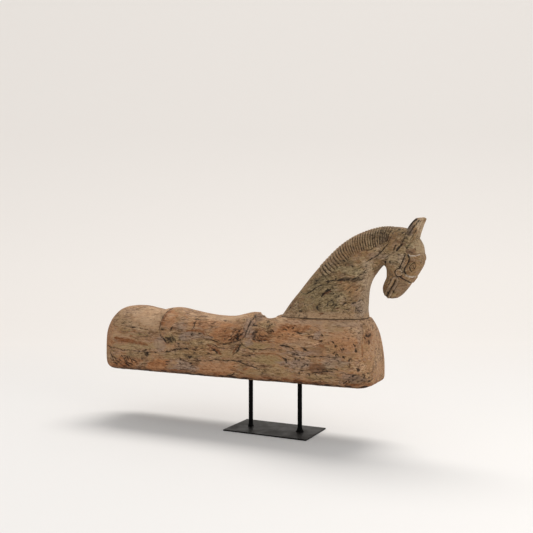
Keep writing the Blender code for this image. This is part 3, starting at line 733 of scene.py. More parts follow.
SHOULDER_STREWN = [
    ("scratch", (356, 380), (18, 4.6), 52, -32, 4.6, 0.6, 61, 0.9),
    ("scratch", (368, 338), (3, 6.5), 16, 82, 4.2, 0.5, 62, 0.8),
    ("rust", (368, 338), (3.6, 7), 12, 82, 5.0, 0.8, 63, 0.8),
    ("rust", (295, 327), (15, 5), 20, 6, 6.0, 0.8, 64, 0.7),
    ("scratch", (336, 345), (11, 9), 26, 50, 2.4, 0.55, 65, 0.6),
    ("scratch", (262, 334), (9, 7), 22, 10, 4.0, 0.6, 66, 0.7),
    ("crack", (256, 337), (7, 5), 18, 12, 2.8, 0.7, 74, 1.0),
    ("scratch", (269, 324), (5, 4), 14, 70, 3.6, 0.5, 75, 0.8),
    ("scratch", (258, 317), (4, 2.6), 12, 30, 2.6, 0.5, 76, 0.9),
    ("rust", (264, 334), (10, 6), 14, 5, 5.0, 0.8, 67, 0.7),
    ("rust", (318, 368), (9, 5), 14, 70, 4.0, 0.9, 68, 0.7),
    ("scratch", (318, 369), (9, 4.5), 16, 60, 3.0, 0.5, 69, 0.6),
    ("scratch", (379, 345), (5, 24), 24, 88, 9.0, 0.42, 70, 0.35),
    ("scratch", (300, 352), (34, 9), 22, 8, 2.6, 0.5, 71, 0.4),
    ("scratch", (247, 331), (3, 12), 16, 105, 4.0, 0.5, 72, 0.6),
    ("scratch", (296, 340), (14, 6), 14, 60, 1.8, 0.5, 73, 0.5),
]
WORM_HOLES = [
    (304, 350), (333, 342.4), (336, 347), (342, 349.4), (355.6, 345), (356.2, 351), (342.8, 357.2),
    (350.4, 360), (349.6, 366), (358.4, 369.6), (337.2, 355.6), (368.6, 335), (285, 359.6), (254, 335.6),
    (259, 339.4), (271, 330.6), (320.8, 336),
]
for number, hole in enumerate(WORM_HOLES):
    SHOULDER_STREWN.append(("crack", hole, (1.8, 1.6), 5, 50, 2.6, 0.6, 300 + number, 0.95))
SHOULDER_MARKS += strewn_over(SHOULDER_STREWN)
SHOULDER_PATCHES = [
    ("mauve", 0.9, (248.6, 331), (4.6, 15)),
    ("mauve", 0.6, (259, 316), (4.5, 3)),
    ("dark_patch", 0.55, (259, 318), (6, 4)),
    ("dark_patch", 0.4, (254, 323), (6, 8)),
    ("olive", 0.6, (268, 324.6), (6, 3.6)),
    ("orange", 0.95, (296, 327), (19, 6)),
    ("orange", 0.35, (262, 337), (10, 6)),
    ("rust", 0.2, (257, 338), (7, 4.6)),
    ("orange", 0.3, (312, 340), (16, 7)),
    ("orange", 0.7, (286, 336), (16, 6)),
    ("pale", 0.6, (278, 323), (7, 4)),
    ("pale", 0.4, (300, 342), (14, 5)),
    ("mauve", 0.95, (317.4, 333.4), (4.6, 5.6)),
    ("olive", 0.85, (254, 345.6), (12, 3.2)),
    ("olive", 0.95, (266, 359), (17, 5)),
    ("mauve", 0.7, (300, 353.6), (17, 3.4)),
    ("mauve", 0.85, (296, 364), (14, 6)),
    ("mauve", 0.6, (332, 363), (14, 5)),
    ("olive", 0.6, (334, 366), (12, 5)),
    ("rust", 0.6, (316.6, 368), (6.6, 4.6)),
    ("dark_patch", 0.5, (318, 369), (8, 4.6)),
    ("olive", 0.7, (320, 378), (16, 3)),
    ("olive", 0.5, (275, 371), (16, 5)),
    ("mauve", 0.75, (346, 324.6), (17, 3)),
    ("mauve", 0.5, (306, 322), (20, 2)),
    ("pale", 0.6, (326, 323), (42, 3.4)),
    ("olive", 0.5, (334, 327), (12, 5)),
    ("orange", 0.4, (342, 343), (15, 10)),
    ("pale", 0.3, (334, 331), (30, 8)),
    ("rust", 0.4, (368, 338), (4, 8)),
    # The pale strip down the chest front is painted light on the face that turns to the right.
    ("pale", 0.2, (375, 345), (7, 26)),
    ("mauve", 0.45, (360, 332), (3, 14)),
    ("dark_patch", 0.55, (357, 380.6), (14, 4)),
    ("mauve", 0.6, (352, 379), (12, 4)),
]
print("shoulder:", len(SHOULDER_MARKS), "marks,", len(SHOULDER_PATCHES), "patches")

# %% [markdown]
# The block is then worked over. Broad, shallow lumps stand for the facets of the adze, finer ones run
# along the grain, and the lower edge is chewed, with a band along it painted darker and rustier as
# shade. The saddle's front end is broken off in two steps, so whatever stands above its drawn
# outline is taken down to it. The far flank gets a few
# cracks of its own in place of the marks that the picture shows, because nothing is known about it.

# %% Trunk: worked surface
FAR_CRACKS = [
    [(-402, 92), (-350, 88), (-300, 95), (-262, 90)],
    [(-330, 44), (-270, 52), (-215, 47), (-150, 55), (-96, 52)],
    [(-180, 108), (-130, 112), (-82, 104)],
    [(-20, 60), (30, 66), (88, 58), (150, 63), (196, 60)],
    [(40, 104), (90, 100), (138, 108)],
    [(60, 26), (120, 32), (170, 27)],
]
FAR_CRACK_WIDTH, FAR_CRACK_DEPTH, FAR_CRACK_DARK = 1.1, 1.0, 0.6
POMMEL_OUTLINE = [
    (255, 311.8), (261.2, 312.2), (262.1, 315), (264.8, 315.4), (266.6, 317.6), (268.6, 318.4),
    (272.8, 318), (277, 317),
]
POMMEL_FOOT = 120
PIXEL_HEIGHT = 2.15
FILLET = 5.5
TRUNK_FACETS, TRUNK_FIBRES = ((46.0, 24.0, 22.0), 0.55), ((16.0, 3.2, 2.6), 0.22)
CHEWED_SIZE, CHEWED_DEPTH = (14.0, 6.0, 5.0), 0.7


def far_cracks(grid, normal):
    wavy = grid[..., [0, 2]] + 1.6 * waver(grid, (12.0, 9.0), 81)
    worn = np.clip(0.6 + 0.9 * rough(grid, (14.0, 6.0, 6.0), 151), 0.1, 1.0)
    far_flank = (grid[..., 1] > 0) & (np.abs(normal[..., 1]) > 0.4)
    for line in FAR_CRACKS:
        distance, along = nearest_on(wavy, line)
        yield hump(distance, 0.0, FAR_CRACK_WIDTH * (1 + np.sin(np.pi * along))) * worn * far_flank


def broken_pommel(carved, normal):
    seen, _ = seen_at(drawn_to_metres(carved), normal)
    outline = np.interp(seen[..., 0], *np.array(POMMEL_OUTLINE).T, left=0.0, right=0.0)
    above = np.clip(outline - seen[..., 1], 0.0, None) * (carved[..., 2] > POMMEL_FOOT)
    carved[..., 2] -= PIXEL_HEIGHT * above


def facets_and_fibres(grid, facets, fibres, seed):
    """The broad facets of the adze and the fine relief along the grain, each a size and a depth."""
    return facets[1] * rough(grid, facets[0], seed, 2) + fibres[1] * rough(grid, fibres[0], seed + 10, 2)


def worked_trunk(grid, normal, height):
    marks = RUMP_MARKS + SADDLE_MARKS + SHOULDER_MARKS
    layers, cut = weather(grid, normal, marks, RUMP_PATCHES + SADDLE_PATCHES + SHOULDER_PATCHES, 100)
    for cover in far_cracks(grid, normal):
        add_to(layers, "dark", FAR_CRACK_DARK * cover)
        cut = cut - FAR_CRACK_DEPTH * cover
    chewed = np.clip(rough(grid, CHEWED_SIZE, 111) + 0.55, 0.15, 1.0)
    # Along the foot a band is painted darker and rustier, as shade under the belly's edge.
    low = soft_step((4.4 + 2.6 * chewed - grid[..., 2]) / 2.2)
    rusty_foot_shade = soft_step((8.0 + 6.0 * chewed - grid[..., 2]) / 5.0)
    add_to(layers, "dark", low * (0.24 + 0.66 * chewed**2))
    add_to(layers, "rust", rusty_foot_shade * (0.35 + 0.65 * chewed))
    worked = facets_and_fibres(grid, TRUNK_FACETS, TRUNK_FIBRES, 121) - CHEWED_DEPTH * low * chewed
    carved = grid + normal * (height + cut + worked)[..., None]
    carved[..., 2] = np.maximum(carved[..., 2], 0.0)
    broken_pommel(carved, normal)
    seated = (carved[..., 0] > SEAT_REAR + FILLET) & (carved[..., 2] > SEAT)
    carved[..., 2] = np.where(seated, SEAT, carved[..., 2])
    return carved, layers


trunk_carved, trunk_layers = worked_trunk(trunk, trunk_normal, trunk_height)
carved_trunk = block("carved_trunk", drawn_to_metres(trunk_carved), trunk_layers)
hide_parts("horse_trunk")

# %% [markdown]
# The second block is the neck and head. Its rings run from the flat seat up the neck, over the poll
# and down to the muzzle. Each is given by its crest, its throat, its half thickness and how square
# it is, with the same values as the solid.

# %% Neck and head: plain form
NECK_ROW = [
    (19, 132, 216, 134, 62, 2.7),
    (29, 145, 215, 143, 60, 2.7),
    (49, 173, 214, 157, 55, 2.6),
    (75, 205, 215, 172, 50.5, 2.5),
    (102.5, 238, 216, 187, 46, 2.4),
    (130, 266.5, 218.5, 202, 42, 2.4),
    (156.5, 291, 223, 215, 39, 2.4),
    (185, 309.5, 228.5, 226, 36.5, 2.4),
    (217, 322.7, 235, 235, 34, 2.4),
    (250, 330, 242, 244, 31.5, 2.4),
    (278, 329.5, 248, 250, 30, 2.5),
    (300, 325.5, 251.5, 250.5, 29, 2.6),
    (317.5, 313, 255.5, 247, 28.5, 2.7),
    (330, 295, 257.5, 241, 28.5, 2.8),
    (334, 277, 258, 233, 28, 2.8),
    (334, 256, 257, 224, 26.5, 2.7),
    (324, 236, 252.5, 215, 24, 2.6),
    (311, 218, 249.5, 206, 22, 2.6),
    (300, 203, 249.5, 198, 21, 2.6),
    (289, 191, 251, 192, 19.5, 2.5),
    (279, 184, 255, 187, 16, 2.4),
    (270, 182.2, 259, 183.2, 9, 2.2),
]
NECK_ROWS, NECK_SIDES = 430, 228
SEAT_GAP = 0.3


def plain_neck():
    grid = np.empty((NECK_ROWS, NECK_SIDES, 3))
    for i, row in enumerate(smooth_rows(NECK_ROW, NECK_ROWS)):
        crest_x, crest_z, throat_x, throat_z, half, fullness = row
        crest = np.array([crest_x, 0.0, crest_z])
        throat = np.array([throat_x, 0.0, throat_z])
        reach = np.linalg.norm(crest - throat) / 2
        side, rise = ring(half, reach, reach, fullness, fullness, NECK_SIDES)
        grid[i] = (crest + throat) / 2 + rise[:, None] * (crest - throat) / (2 * reach)
        grid[i, :, 1] = side
    return grid


neck = plain_neck()
neck_normal = outward(neck)
print("plain neck and head:", neck.shape)

# %% [markdown]
# The mane is a fan of about thirty grooves. Eleven of them are drawn, from the crest to the lower end,
# and the rest are spread smoothly between those. The mane as a whole stands a little proud.

# %% Mane
MANE = [
    (110.3, 251.5, 138.3, 225.3), (127.3, 268, 156.2, 240.5), (144, 283.4, 171.5, 254.3),
    (161, 295.7, 184, 264.4), (177.6, 306, 193.8, 272.5), (194, 314.7, 205, 277.9),
    (210, 321.6, 217.8, 281.5), (226, 326.9, 231.3, 285.7), (242, 330, 243.7, 290.7),
    (258, 331.2, 255.6, 296), (273.5, 330, 266, 301.6),
]
STRANDS = 29
STRAND_WIDTH, STRAND_DEPTH = 1.35, 2.2
MANE_HEIGHT, MANE_EDGE = 1.2, 2.2
MANE_BOW = 1.5
MANE_WAVER = 0.7


def strand(row):
    crest_x, crest_z, end_x, end_z = row
    middle = ((crest_x + end_x) / 2 - MANE_BOW, (crest_z + end_z) / 2 - MANE_BOW)
    return [(crest_x, crest_z), middle, (end_x, end_z)]


def mane_relief(grid):
    flat = grid[..., [0, 2]] + MANE_WAVER * waver(grid, (11.0, 9.0), 141)
    strands = [strand(row) for row in smooth_rows(MANE, STRANDS)]
    outline = [line[0] for line in strands] + [line[-1] for line in reversed(strands)]
    raised = soft_step(inside(flat, outline) / MANE_EDGE)
    grooves = np.zeros(grid.shape[:2])
    lower = np.zeros(grid.shape[:2])
    for line in strands:
        distance, along = nearest_on(flat, line)
        cut = hump(distance, 0.0, STRAND_WIDTH)
        grooves = np.maximum(grooves, cut)
        lower = np.maximum(lower, cut * along)
    ridges = raised * np.clip(1 - 1.6 * grooves, 0, 1)
    return MANE_HEIGHT * raised - STRAND_DEPTH * grooves, grooves, lower, ridges


mane_height, mane_grooves, mane_lower, mane_ridges = mane_relief(neck)
print("mane relief:", np.round([mane_height.min(), mane_height.max()], 2), "mm")

# %% [markdown]
# The bridle and the face are cut as mirror images on both sides, so their lines are drawn once, in
# pixels of the near side, and the far side borrows them through a mirror. A strap is a raised band
# with a fine line along each edge, painted dark as shade. The eye is a bead in a ring of lids, the
# mouth a deep slit in a raised lip. Each ring of the eye has its distance, width, height and painted
# shade. Each cut has its width, depth and painted shade: two gashes under the ear, two creases on the
# forehead, the jaw, two lines on the chin, the corner of the lip and the root of the ear.

# %% Face and bridle: drawn lines
CHEEK_STRAP = [
    (404.6, 252.6), (408.6, 253.8), (409.5, 258.4), (408.7, 261.4), (406.9, 265), (404.9, 268.6),
    (404.2, 272), (403.4, 277), (397.2, 274), (398.6, 270), (400.2, 266.8), (402.2, 262.8), (403.9, 258.8),
]
BROW_BAND = [
    (407.6, 254.2), (411, 255.6), (416, 255.7), (420, 254.2), (427, 254), (427, 260), (418, 259.6),
    (410, 260.4),
]
NOSE_BAND = [
    (400.4, 274.2), (404.4, 275), (410, 276.8), (416, 276.4), (421, 274.6), (418, 281.4), (411.6, 283),
    (408, 281.5), (404.4, 279.6), (400.8, 277.4),
]
STRAPS = [(CHEEK_STRAP, 2.0, 0.7), (BROW_BAND, 1.5, 0.8), (NOSE_BAND, 1.9, 0.7)]
STRAP_LINES = [
    (0.8, [(405.4, 253.8), (403.9, 258.8), (402.2, 262.8), (400.2, 266.8), (398.2, 270.8)]),
    (1.0, [
        (408.2, 255), (409.5, 258.6), (408.7, 261.4), (406.9, 265), (404.7, 268.8), (404.3, 271.6),
        (405.6, 273.6),
    ]),
    (0.95, [(400.6, 277.2), (404.4, 279.5), (408, 281.4), (411.6, 283)]),
    (0.3, [(404.6, 253.4), (409, 253.2), (414, 254.3), (419.4, 253.2), (422, 253.6), (425, 256.6)]),
    (0.25, [(410, 260.4), (414, 260), (418.6, 259.4)]),
]
STRAP_LINE_WIDTH, STRAP_LINE_DEPTH = 0.75, 1.2
# Highlights are painted along the raised edges of the brow band and the nose band, and on the nose.
STRAP_HIGHLIGHTS = [
    [(408.2, 254.5), (410, 255.7), (415.6, 255.9), (419.4, 254.6)],
    [(405.6, 275.2), (410, 276.9), (415.4, 276.4)],
    [(409.4, 283.6), (412, 284.2)],
]
STRAP_HIGHLIGHT_WIDTH, STRAP_HIGHLIGHT = 0.5, 0.6
BRIDLE_RING = (399.1, 272.5)
BRIDLE_RING_RADIUS = 3.4
RING_RIM, RING_GROOVE = (2.9, 0.6), (4.1, 0.65)
EYE = (412.6, 267.0)
BEAD_RADIUS = 3.4
EYE_RINGS = [(5.0, 0.9, 1.3, 0.0), (3.8, 0.7, -1.0, 0.75), (7.4, 1.0, -0.8, 0.14), (1.6, 0.6, -0.5, 0.5)]
MOUTH = [(395.2, 280.2), (393.3, 284.4), (390.2, 289.4), (387.2, 295.2)]
LIP, LIP_GROOVE = (2.6, 0.75), (3.8, 0.6)
NOSTRIL = (392.9, 291.9)
CHEEK = (395.0, 262.0)
CHEEK_RADIUS, CHEEK_EDGE, CHEEK_HEIGHT = 10.0, 3.4, 1.8
FACE_CUTS = [
    (1.0, 2.0, 0.95, [(401.8, 244), (399.6, 246.8), (396.7, 250.4)]),
    (0.9, 1.2, 0.8, [(395.8, 245.6), (394.6, 247.6), (393.7, 249.8)]),
    (0.9, 1.1, 0.5, [(405.8, 246.4), (408.8, 245.2), (411.4, 240.4), (415.6, 237), (420.6, 237.4)]),
    (0.9, 0.9, 0.35, [(406.4, 247.4), (408.4, 251.4), (413, 253.4)]),
    (1.3, 1.1, 0.3, [(385.4, 258), (385.2, 263), (386.6, 268), (389, 272.4), (391.6, 277)]),
    (0.6, 0.7, 0.5, [(391.6, 277), (389.4, 283), (386.2, 289)]),
    (0.6, 0.6, 0.4, [(389, 276), (387.4, 281), (385, 286)]),
    (1.5, 1.0, 0.8, [(387.6, 293), (386.6, 296)]),
    (0.7, 0.8, 0.5, [(401.6, 243.6), (404, 238.6), (406, 233)]),
]
print("face:", len(STRAPS), "straps,", len(EYE_RINGS), "rings round the eye,", len(FACE_CUTS), "cuts")

# %% [markdown]
# A strap is raised inside its outline and cut along its edges, and the ring covers the place where
# the straps meet. The cut lines and the ring's groove are painted dark as shade, the groove most at
# its lower left.


# %% Straps and ring
def bridle(flat, head):
    """Height, painted shade and painted highlight of the straps and their ring."""
    straps = [rise * soft_step(inside(flat, loop) / edge) for loop, rise, edge in STRAPS]
    height = head * np.maximum.reduce(straps)
    line_shade = np.zeros(head.shape)
    # Each edge line is cut and painted dark as shade.
    for strength, line in STRAP_LINES:
        cut = line_cut(flat, line, STRAP_LINE_WIDTH)
        height = height - head * STRAP_LINE_DEPTH * strength * cut
        line_shade = np.maximum(line_shade, strength * cut)
    lights = [line_cut(flat, line, STRAP_HIGHLIGHT_WIDTH) for line in STRAP_HIGHLIGHTS]
    light = STRAP_HIGHLIGHT * np.maximum.reduce(lights)
    away = np.hypot(*(flat - np.array(BRIDLE_RING)).transpose(2, 0, 1))
    disc = soft_step((BRIDLE_RING_RADIUS - away) / 0.5)
    rim, groove = hump(away, *RING_RIM), hump(away, *RING_GROOVE)
    height = height * (1 - disc) + 2.0 * disc + 0.7 * rim - 0.9 * groove * (1 - disc)
    # The groove round the ring is painted dark as shade, most at its lower left.
    lower_left = soft_step((flat[..., 1] - BRIDLE_RING[1] - flat[..., 0] + BRIDLE_RING[0]) / 3.0)
    line_shade = np.maximum(line_shade * (1 - disc), (0.35 + 0.6 * lower_left) * groove)
    return height, line_shade, np.maximum(light, 0.12 * rim * disc)


# %% [markdown]
# The eye is an almond that leans, somewhere between an oval and a lozenge, so its distance is the mean
# of the two. The mouth's slit widens downwards and is interrupted once, with a rounded lip round it.


# %% Eye and mouth
def eye(flat):
    across, down = flat[..., 0] - EYE[0], flat[..., 1] - EYE[1]
    oval = np.hypot(1.25 * across + 0.35 * down, 0.9 * down)
    lozenge = np.abs(1.2 * across + 0.35 * down) + np.abs(0.85 * down)
    away = 0.5 * (oval + lozenge)
    height = soft_step((BEAD_RADIUS - away) / 0.7)
    # The grooves of the lids and the dimple in the bead are painted dark as shade.
    line_shade = np.zeros(away.shape)
    for middle, width, rise, tint in EYE_RINGS:
        height = height + rise * hump(away, middle, width)
        line_shade = np.maximum(line_shade, tint * hump(away, middle, width))
    return height, line_shade


def mouth(flat):
    away, along = nearest_on(flat, MOUTH)
    slit = hump(away, 0.0, 0.8 + 0.3 * along) * (1 - 0.5 * hump(along, 0.7, 0.16))
    lip, outer = hump(away, *LIP), hump(away, *LIP_GROOVE)
    height = 1.0 * lip - 2.6 * slit - 0.6 * outer
    away = np.hypot(*(flat - np.array(NOSTRIL)).transpose(2, 0, 1))
    height = height + 0.5 * hump(away, 2.0, 0.6) - 2.0 * hump(away, 0.0, 1.1)
    # The slit, the groove round the lip and the nostril are painted dark as shade, and the lip gets a faint
    # painted highlight.
    return height, np.maximum.reduce([slit, 0.45 * outer, hump(away, 0.0, 1.15)]), 0.1 * lip


# %% [markdown]
# The mirror works by asking where a point would be seen if it lay on the near side. Everything is
# measured in pixels there, and heights are in millimetres. The dark of each line is painted shade,
# broken up by fine lumps.

# %% Whole face
HEAD_REAR = 258
FACE_WAVER = 0.28


def near_side(vectors):
    return np.stack([vectors[..., 0], -np.abs(vectors[..., 1]), vectors[..., 2]], axis=-1)


def face_relief(grid, normal):
    flat, _ = seen_at(drawn_to_metres(near_side(grid)), near_side(normal))
    flat = flat + FACE_WAVER * waver(grid, (8.0, 7.0), 161)
    head = soft_step((grid[..., 0] - HEAD_REAR) / 6)
    side = soft_step((np.abs(normal[..., 1]) - 0.2) / 0.2)
    height, bridle_shade, bridle_highlight = bridle(flat, head)
    eye_height, eye_shade = eye(flat)
    mouth_height, mouth_shade, mouth_highlight = mouth(flat)
    height = height + side * (eye_height + mouth_height)
    line_shade = np.maximum.reduce([bridle_shade, eye_shade, mouth_shade])
    for width, depth, tint, line in FACE_CUTS:
        cut = line_cut(flat, line, width)
        height = height - side * depth * cut
        line_shade = np.maximum(line_shade, tint * cut)
    away = np.hypot(flat[..., 0] - CHEEK[0], flat[..., 1] - CHEEK[1])
    height = height + side * CHEEK_HEIGHT * soft_step((CHEEK_RADIUS - away) / CHEEK_EDGE)
    # The painted shade in the lines is broken up in patches.
    patchy_shade = np.clip(0.75 + 0.8 * rough(grid, (4.4, 3.4, 4.4), 181), 0.25, 1.15)
    # The painted highlights go on the near side only.
    light = np.maximum(bridle_highlight, mouth_highlight) * side * (grid[..., 1] < 0)
    return height, np.clip(line_shade * side * patchy_shade, 0, 1), light, head


face_height, face_line_shade, face_highlight, head_share = face_relief(neck, neck_normal)
print("face relief:", np.round([face_height.min(), face_height.max()], 2), "mm")

# %% [markdown]
# The neck is olive brown with a long, stained crack below the mane, a dark knot hole, curling grain
# and blotches above the joint. The head is browner, with a painted highlight along the brow band and
# fine grain down the nose.

# %% Marks on the neck and head
NECK_MARKS = [
    ("crack", 0.9, 0.6, [(325.6, 281.6), (331, 280.6), (337.2, 280.4), (343.9, 278.8), (350, 280)]),
    ("crack", 0.8, 0.7, [(343, 279), (351.3, 279.4), (357.2, 277.2), (363.9, 272.8), (366, 270.4)]),
    ("scratch", 0.9, 0.9, [(337, 280.8), (344, 280.4), (350, 278.6)]),
    ("scratch", 0.7, 0.5, [(319.4, 286), (330.6, 284.4), (341.7, 285.2)]),
    ("scratch", 0.8, 0.6, [(300.6, 292.8), (306.1, 294), (311.7, 291.1), (316.1, 287.4), (321.7, 285)]),
    ("hole", 1.0, 1.2, [(325.4, 290.8), (329, 289.6)]),
    ("crack", 1.0, 0.9, [(330.4, 289), (326, 291.4), (323, 294), (320.6, 296.8)]),
    ("rust", 1.0, 1.5, [(330.6, 290.4), (326, 292.4), (322.6, 295)]),
    ("scratch", 0.6, 0.5, [(328.3, 293.9), (337, 293.2), (346.1, 290)]),
    ("scratch", 0.5, 0.5, [(345, 290.4), (351, 286.4), (357, 284)]),
    ("scratch", 0.7, 0.55, [(327, 306.6), (328, 302), (331.6, 299.8), (333.6, 303), (329.6, 308)]),
    ("scratch", 0.6, 0.5, [(333.6, 297.6), (337.4, 301.6), (335, 306), (331, 311)]),
    ("crack", 0.9, 0.8, [(346.4, 302), (344.6, 304), (342.4, 306.2)]),
    ("crack", 0.6, 0.8, [(339.6, 306.8), (337.2, 308.6), (334.8, 310.4)]),
    ("rust", 1.0, 0.9, [(339, 307.6), (336.4, 309.4)]),
    ("hole", 0.7, 1.0, [(339.2, 296)]),
    ("crack", 0.8, 1.1, [(351.8, 303), (356, 302.4)]),
    ("scratch", 0.9, 0.8, [(356, 306.6), (356.6, 309)]),
    ("crack", 0.8, 1.3, [(317, 306.6), (318, 309)]),
    ("rust", 0.9, 0.8, [(319, 313.2), (323.6, 314)]),
    ("scratch", 0.7, 0.6, [(319, 313), (323, 313.8)]),
    ("scratch", 0.9, 1.1, [(314.6, 281), (318, 280), (319.4, 278)]),
    ("scratch", 0.6, 0.8, [(315.6, 284), (317.6, 282.6)]),
    ("scratch", 0.6, 0.6, [(297, 300), (299, 303.6)]),
    ("scratch", 0.7, 0.6, [(290.6, 306.6), (288.6, 309.6)]),
    ("rust", 0.7, 0.8, [(297.4, 297.6), (293, 303.6), (288.4, 309.6)]),
    ("crack", 0.9, 0.6, [
        (366.6, 261.4), (371, 258.8), (376.6, 255.8), (380.6, 252.2), (385, 246.4), (389.4, 242),
    ]),
    ("scratch", 0.7, 0.5, [(388, 243.4), (390.4, 237.6), (393.6, 232)]),
    ("scratch", 0.7, 0.6, [(366.7, 250.6), (372, 248.6), (378, 245.4)]),
    ("crack", 0.8, 1.0, [(385.4, 261), (385.6, 264), (385, 266.6)]),
    ("scratch", 0.6, 0.5, [(393.8, 252.4), (389.4, 254.6), (386, 257)]),
    ("hole", 0.7, 0.7, [(390.2, 260.8), (389.8, 263)]),
    ("hole", 0.8, 0.9, [(397, 276.8)]),
    ("scratch", 0.7, 0.6, [(395.6, 275.6), (398.4, 278.4)]),
    ("rust", 0.7, 1.2, [(396.6, 241.6), (400, 242.4)]),
    ("scratch", 0.5, 0.5, [(415, 248), (415.6, 251.4)]),
    ("scratch", 0.5, 0.6, [(420.6, 261.4), (423.6, 264.4)]),
    ("rust", 0.9, 1.0, [(400.6, 245), (404.6, 243.6)]),
    ("scratch", 0.5, 0.45, [(389, 255), (393, 252.6), (397, 250.4)]),
    ("scratch", 0.7, 0.6, [(393.8, 241.6), (396, 240), (398.4, 240.6)]),
    ("scratch", 0.6, 0.6, [(411, 240.4), (413.4, 238.2), (418, 239)]),
    ("scratch", 0.5, 0.5, [(399, 289), (402.6, 284.4)]),
    ("scratch", 0.5, 0.5, [(402, 291), (406, 285.6)]),
]
NECK_STREWN = [
    ("scratch", (346, 263.6), (8, 4), 26, 62, 4.4, 0.55, 201, 0.8),
    ("scratch", (381, 236), (9, 6), 16, 100, 3.6, 0.55, 202, 0.75),
    ("scratch", (338, 296), (24, 14), 38, -24, 4.6, 0.5, 203, 0.75),
    ("scratch", (360, 272), (7, 6), 20, -35, 3.6, 0.6, 204, 0.7),
    ("scratch", (358, 312), (3.6, 3), 18, -40, 2.2, 0.6, 205, 0.8),
    ("scratch", (318, 300), (16, 10), 24, -10, 3.4, 0.5, 206, 0.5),
    ("scratch", (404, 288), (7, 5), 12, 122, 7.0, 0.42, 207, 0.45),
    ("scratch", (368, 300), (3, 22), 14, 95, 6.0, 0.45, 208, 0.4),
    ("scratch", (372, 262), (11, 8), 18, -38, 4.4, 0.5, 209, 0.5),
    ("rust", (352, 288), (12, 9), 10, -28, 4.5, 0.8, 210, 0.5),
    ("scratch", (398, 240), (6, 5), 8, -40, 2.6, 0.5, 211, 0.6),
    ("scratch", (390, 283), (4, 8), 10, 115, 4.0, 0.5, 212, 0.5),
]
NECK_MARKS += strewn_over(NECK_STREWN)
NECK_PATCHES = [
    ("olive", 0.9, (350, 270), (13, 4.4)),
    ("pale", 0.15, (349, 270), (10, 3.6)),
    ("dark_patch", 0.75, (348, 279.4), (14, 2.4)),
    ("dark_patch", 0.5, (317, 280.6), (4, 4)),
    ("dark_patch", 0.5, (317.6, 308), (4.6, 3.4)),
    ("dark_patch", 0.5, (346, 262.6), (9, 3.6)),
    ("dark_patch", 0.35, (381, 235), (10, 6)),
    ("mauve", 0.8, (361, 308), (9, 9)),
    ("mauve", 0.5, (366.6, 286), (4.6, 24)),
    ("mauve", 0.6, (376, 256), (9, 4)),
    ("orange", 0.7, (322, 317), (44, 3.6)),
    ("pale", 0.45, (326, 316), (42, 3.0)),
    # The three pale strips down the front of the neck are painted light on the side that faces right.
    ("pale", 0.3, (365, 292), (8, 30)),
    ("pale", 0.5, (368, 292), (5.4, 30)),
    ("pale", 0.8, (371, 291), (4, 30)),
    ("orange", 0.25, (352, 288), (12, 8)),
    ("olive", 0.6, (322, 294), (22, 16)),
    ("olive", 0.8, (416, 245), (8, 6.4)),
    ("pale", 0.35, (418, 244), (7, 7)),
    ("mauve", 0.5, (410.6, 251.6), (5, 2.2)),
    ("rust", 0.5, (411, 251.4), (5.4, 2.2)),
    ("pale", 0.5, (419, 246), (6, 8)),
    ("pale", 0.3, (395, 258), (8, 10)),
    ("mauve", 0.25, (403, 285), (9, 8)),
    ("dark_patch", 0.4, (403, 288), (11, 9)),
    ("mauve", 0.45, (402, 262), (4, 8)),
    ("dark_patch", 0.5, (387, 291), (3, 5)),
    ("orange", 0.2, (364, 252), (9, 5)),
]
print("neck:", len(NECK_MARKS), "marks,", len(NECK_PATCHES), "patches")

# %% [markdown]
# Now the neck and head are worked over like the trunk. The lower end is cut flat where it meets the
# seat, a hair above it, because the two blocks are glued there.


# %% Neck and head: worked surface
NECK_FACETS, NECK_FIBRES = ((34.0, 20.0, 24.0), 0.5), ((8.0, 3.0, 3.4), 0.16)
GROOVE_SHADE, GROOVE_FOOT_SHADE, RIDGE_HIGHLIGHT = 0.56, 0.12, 0.34
SEAM_DARK = 0.55
BAND_HEIGHT, BAND_ORANGE, BAND_PALE, BAND_CLEARED = 13.0, 0.75, 0.5, 0.8


def cut_flat(grid, level):
    """Moves the part of each column that lies below a level up to where the column crosses it."""
    for column in range(grid.shape[1]):
        first = int(np.argmax(grid[:, column, 2] >= level))
        if first:
            below, above = grid[first - 1, column].copy(), grid[first, column]
            grid[:first, column] = below + (level - below[2]) / (above[2] - below[2]) * (above - below)


def worked_neck(grid, normal):
    layers, cut = weather(grid, normal, NECK_MARKS, NECK_PATCHES, 300)
    worn = np.clip(0.75 + 0.7 * rough(grid, (5.0, 4.0, 6.0), 341), 0.15, 1.2)
    # The mane's grooves are painted dark as shade, more towards their lower ends, and its ridges get a
    # painted highlight.
    add_to(layers, "dark", (GROOVE_SHADE * mane_grooves + GROOVE_FOOT_SHADE * mane_lower) * worn)
    # The face's lines and cuts, painted dark as shade.
    add_to(layers, "dark", face_line_shade)
    add_to(layers, "pale", RIDGE_HIGHLIGHT * mane_ridges * worn)
    above_seat = grid[..., 2] - SEAT
    band = np.exp(-((above_seat / BAND_HEIGHT) ** 4))
    layers["dark"] = layers["dark"] * (1 - BAND_CLEARED * band)
    layers["olive"] = layers["olive"] * (1 - band)
    add_to(layers, "orange", BAND_ORANGE * band)
    add_to(layers, "pale", BAND_PALE * band)
    # The face's painted highlights.
    layers["painted_highlight"] = face_highlight
    worked = facets_and_fibres(grid, NECK_FACETS, NECK_FIBRES, 321) * (1 - 0.6 * head_share)
    behind = soft_step((-normal[..., 0] - 0.3) / 0.3) * hump(above_seat, 0.0, 16.0)
    height = mane_height + face_height + cut + worked - 0.6 * behind
    carved = grid + normal * height[..., None]
    cut_flat(carved, SEAT + SEAT_GAP)
    seam = soft_step((1.5 - above_seat) / 1.2) * (above_seat < 8)
    add_to(layers, "dark", SEAM_DARK * seam)
    return carved, layers


neck_carved, neck_layers = worked_neck(neck, neck_normal)
carved_neck = block("carved_neck_and_head", drawn_to_metres(neck_carved), neck_layers)
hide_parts("horse_neck_and_head")
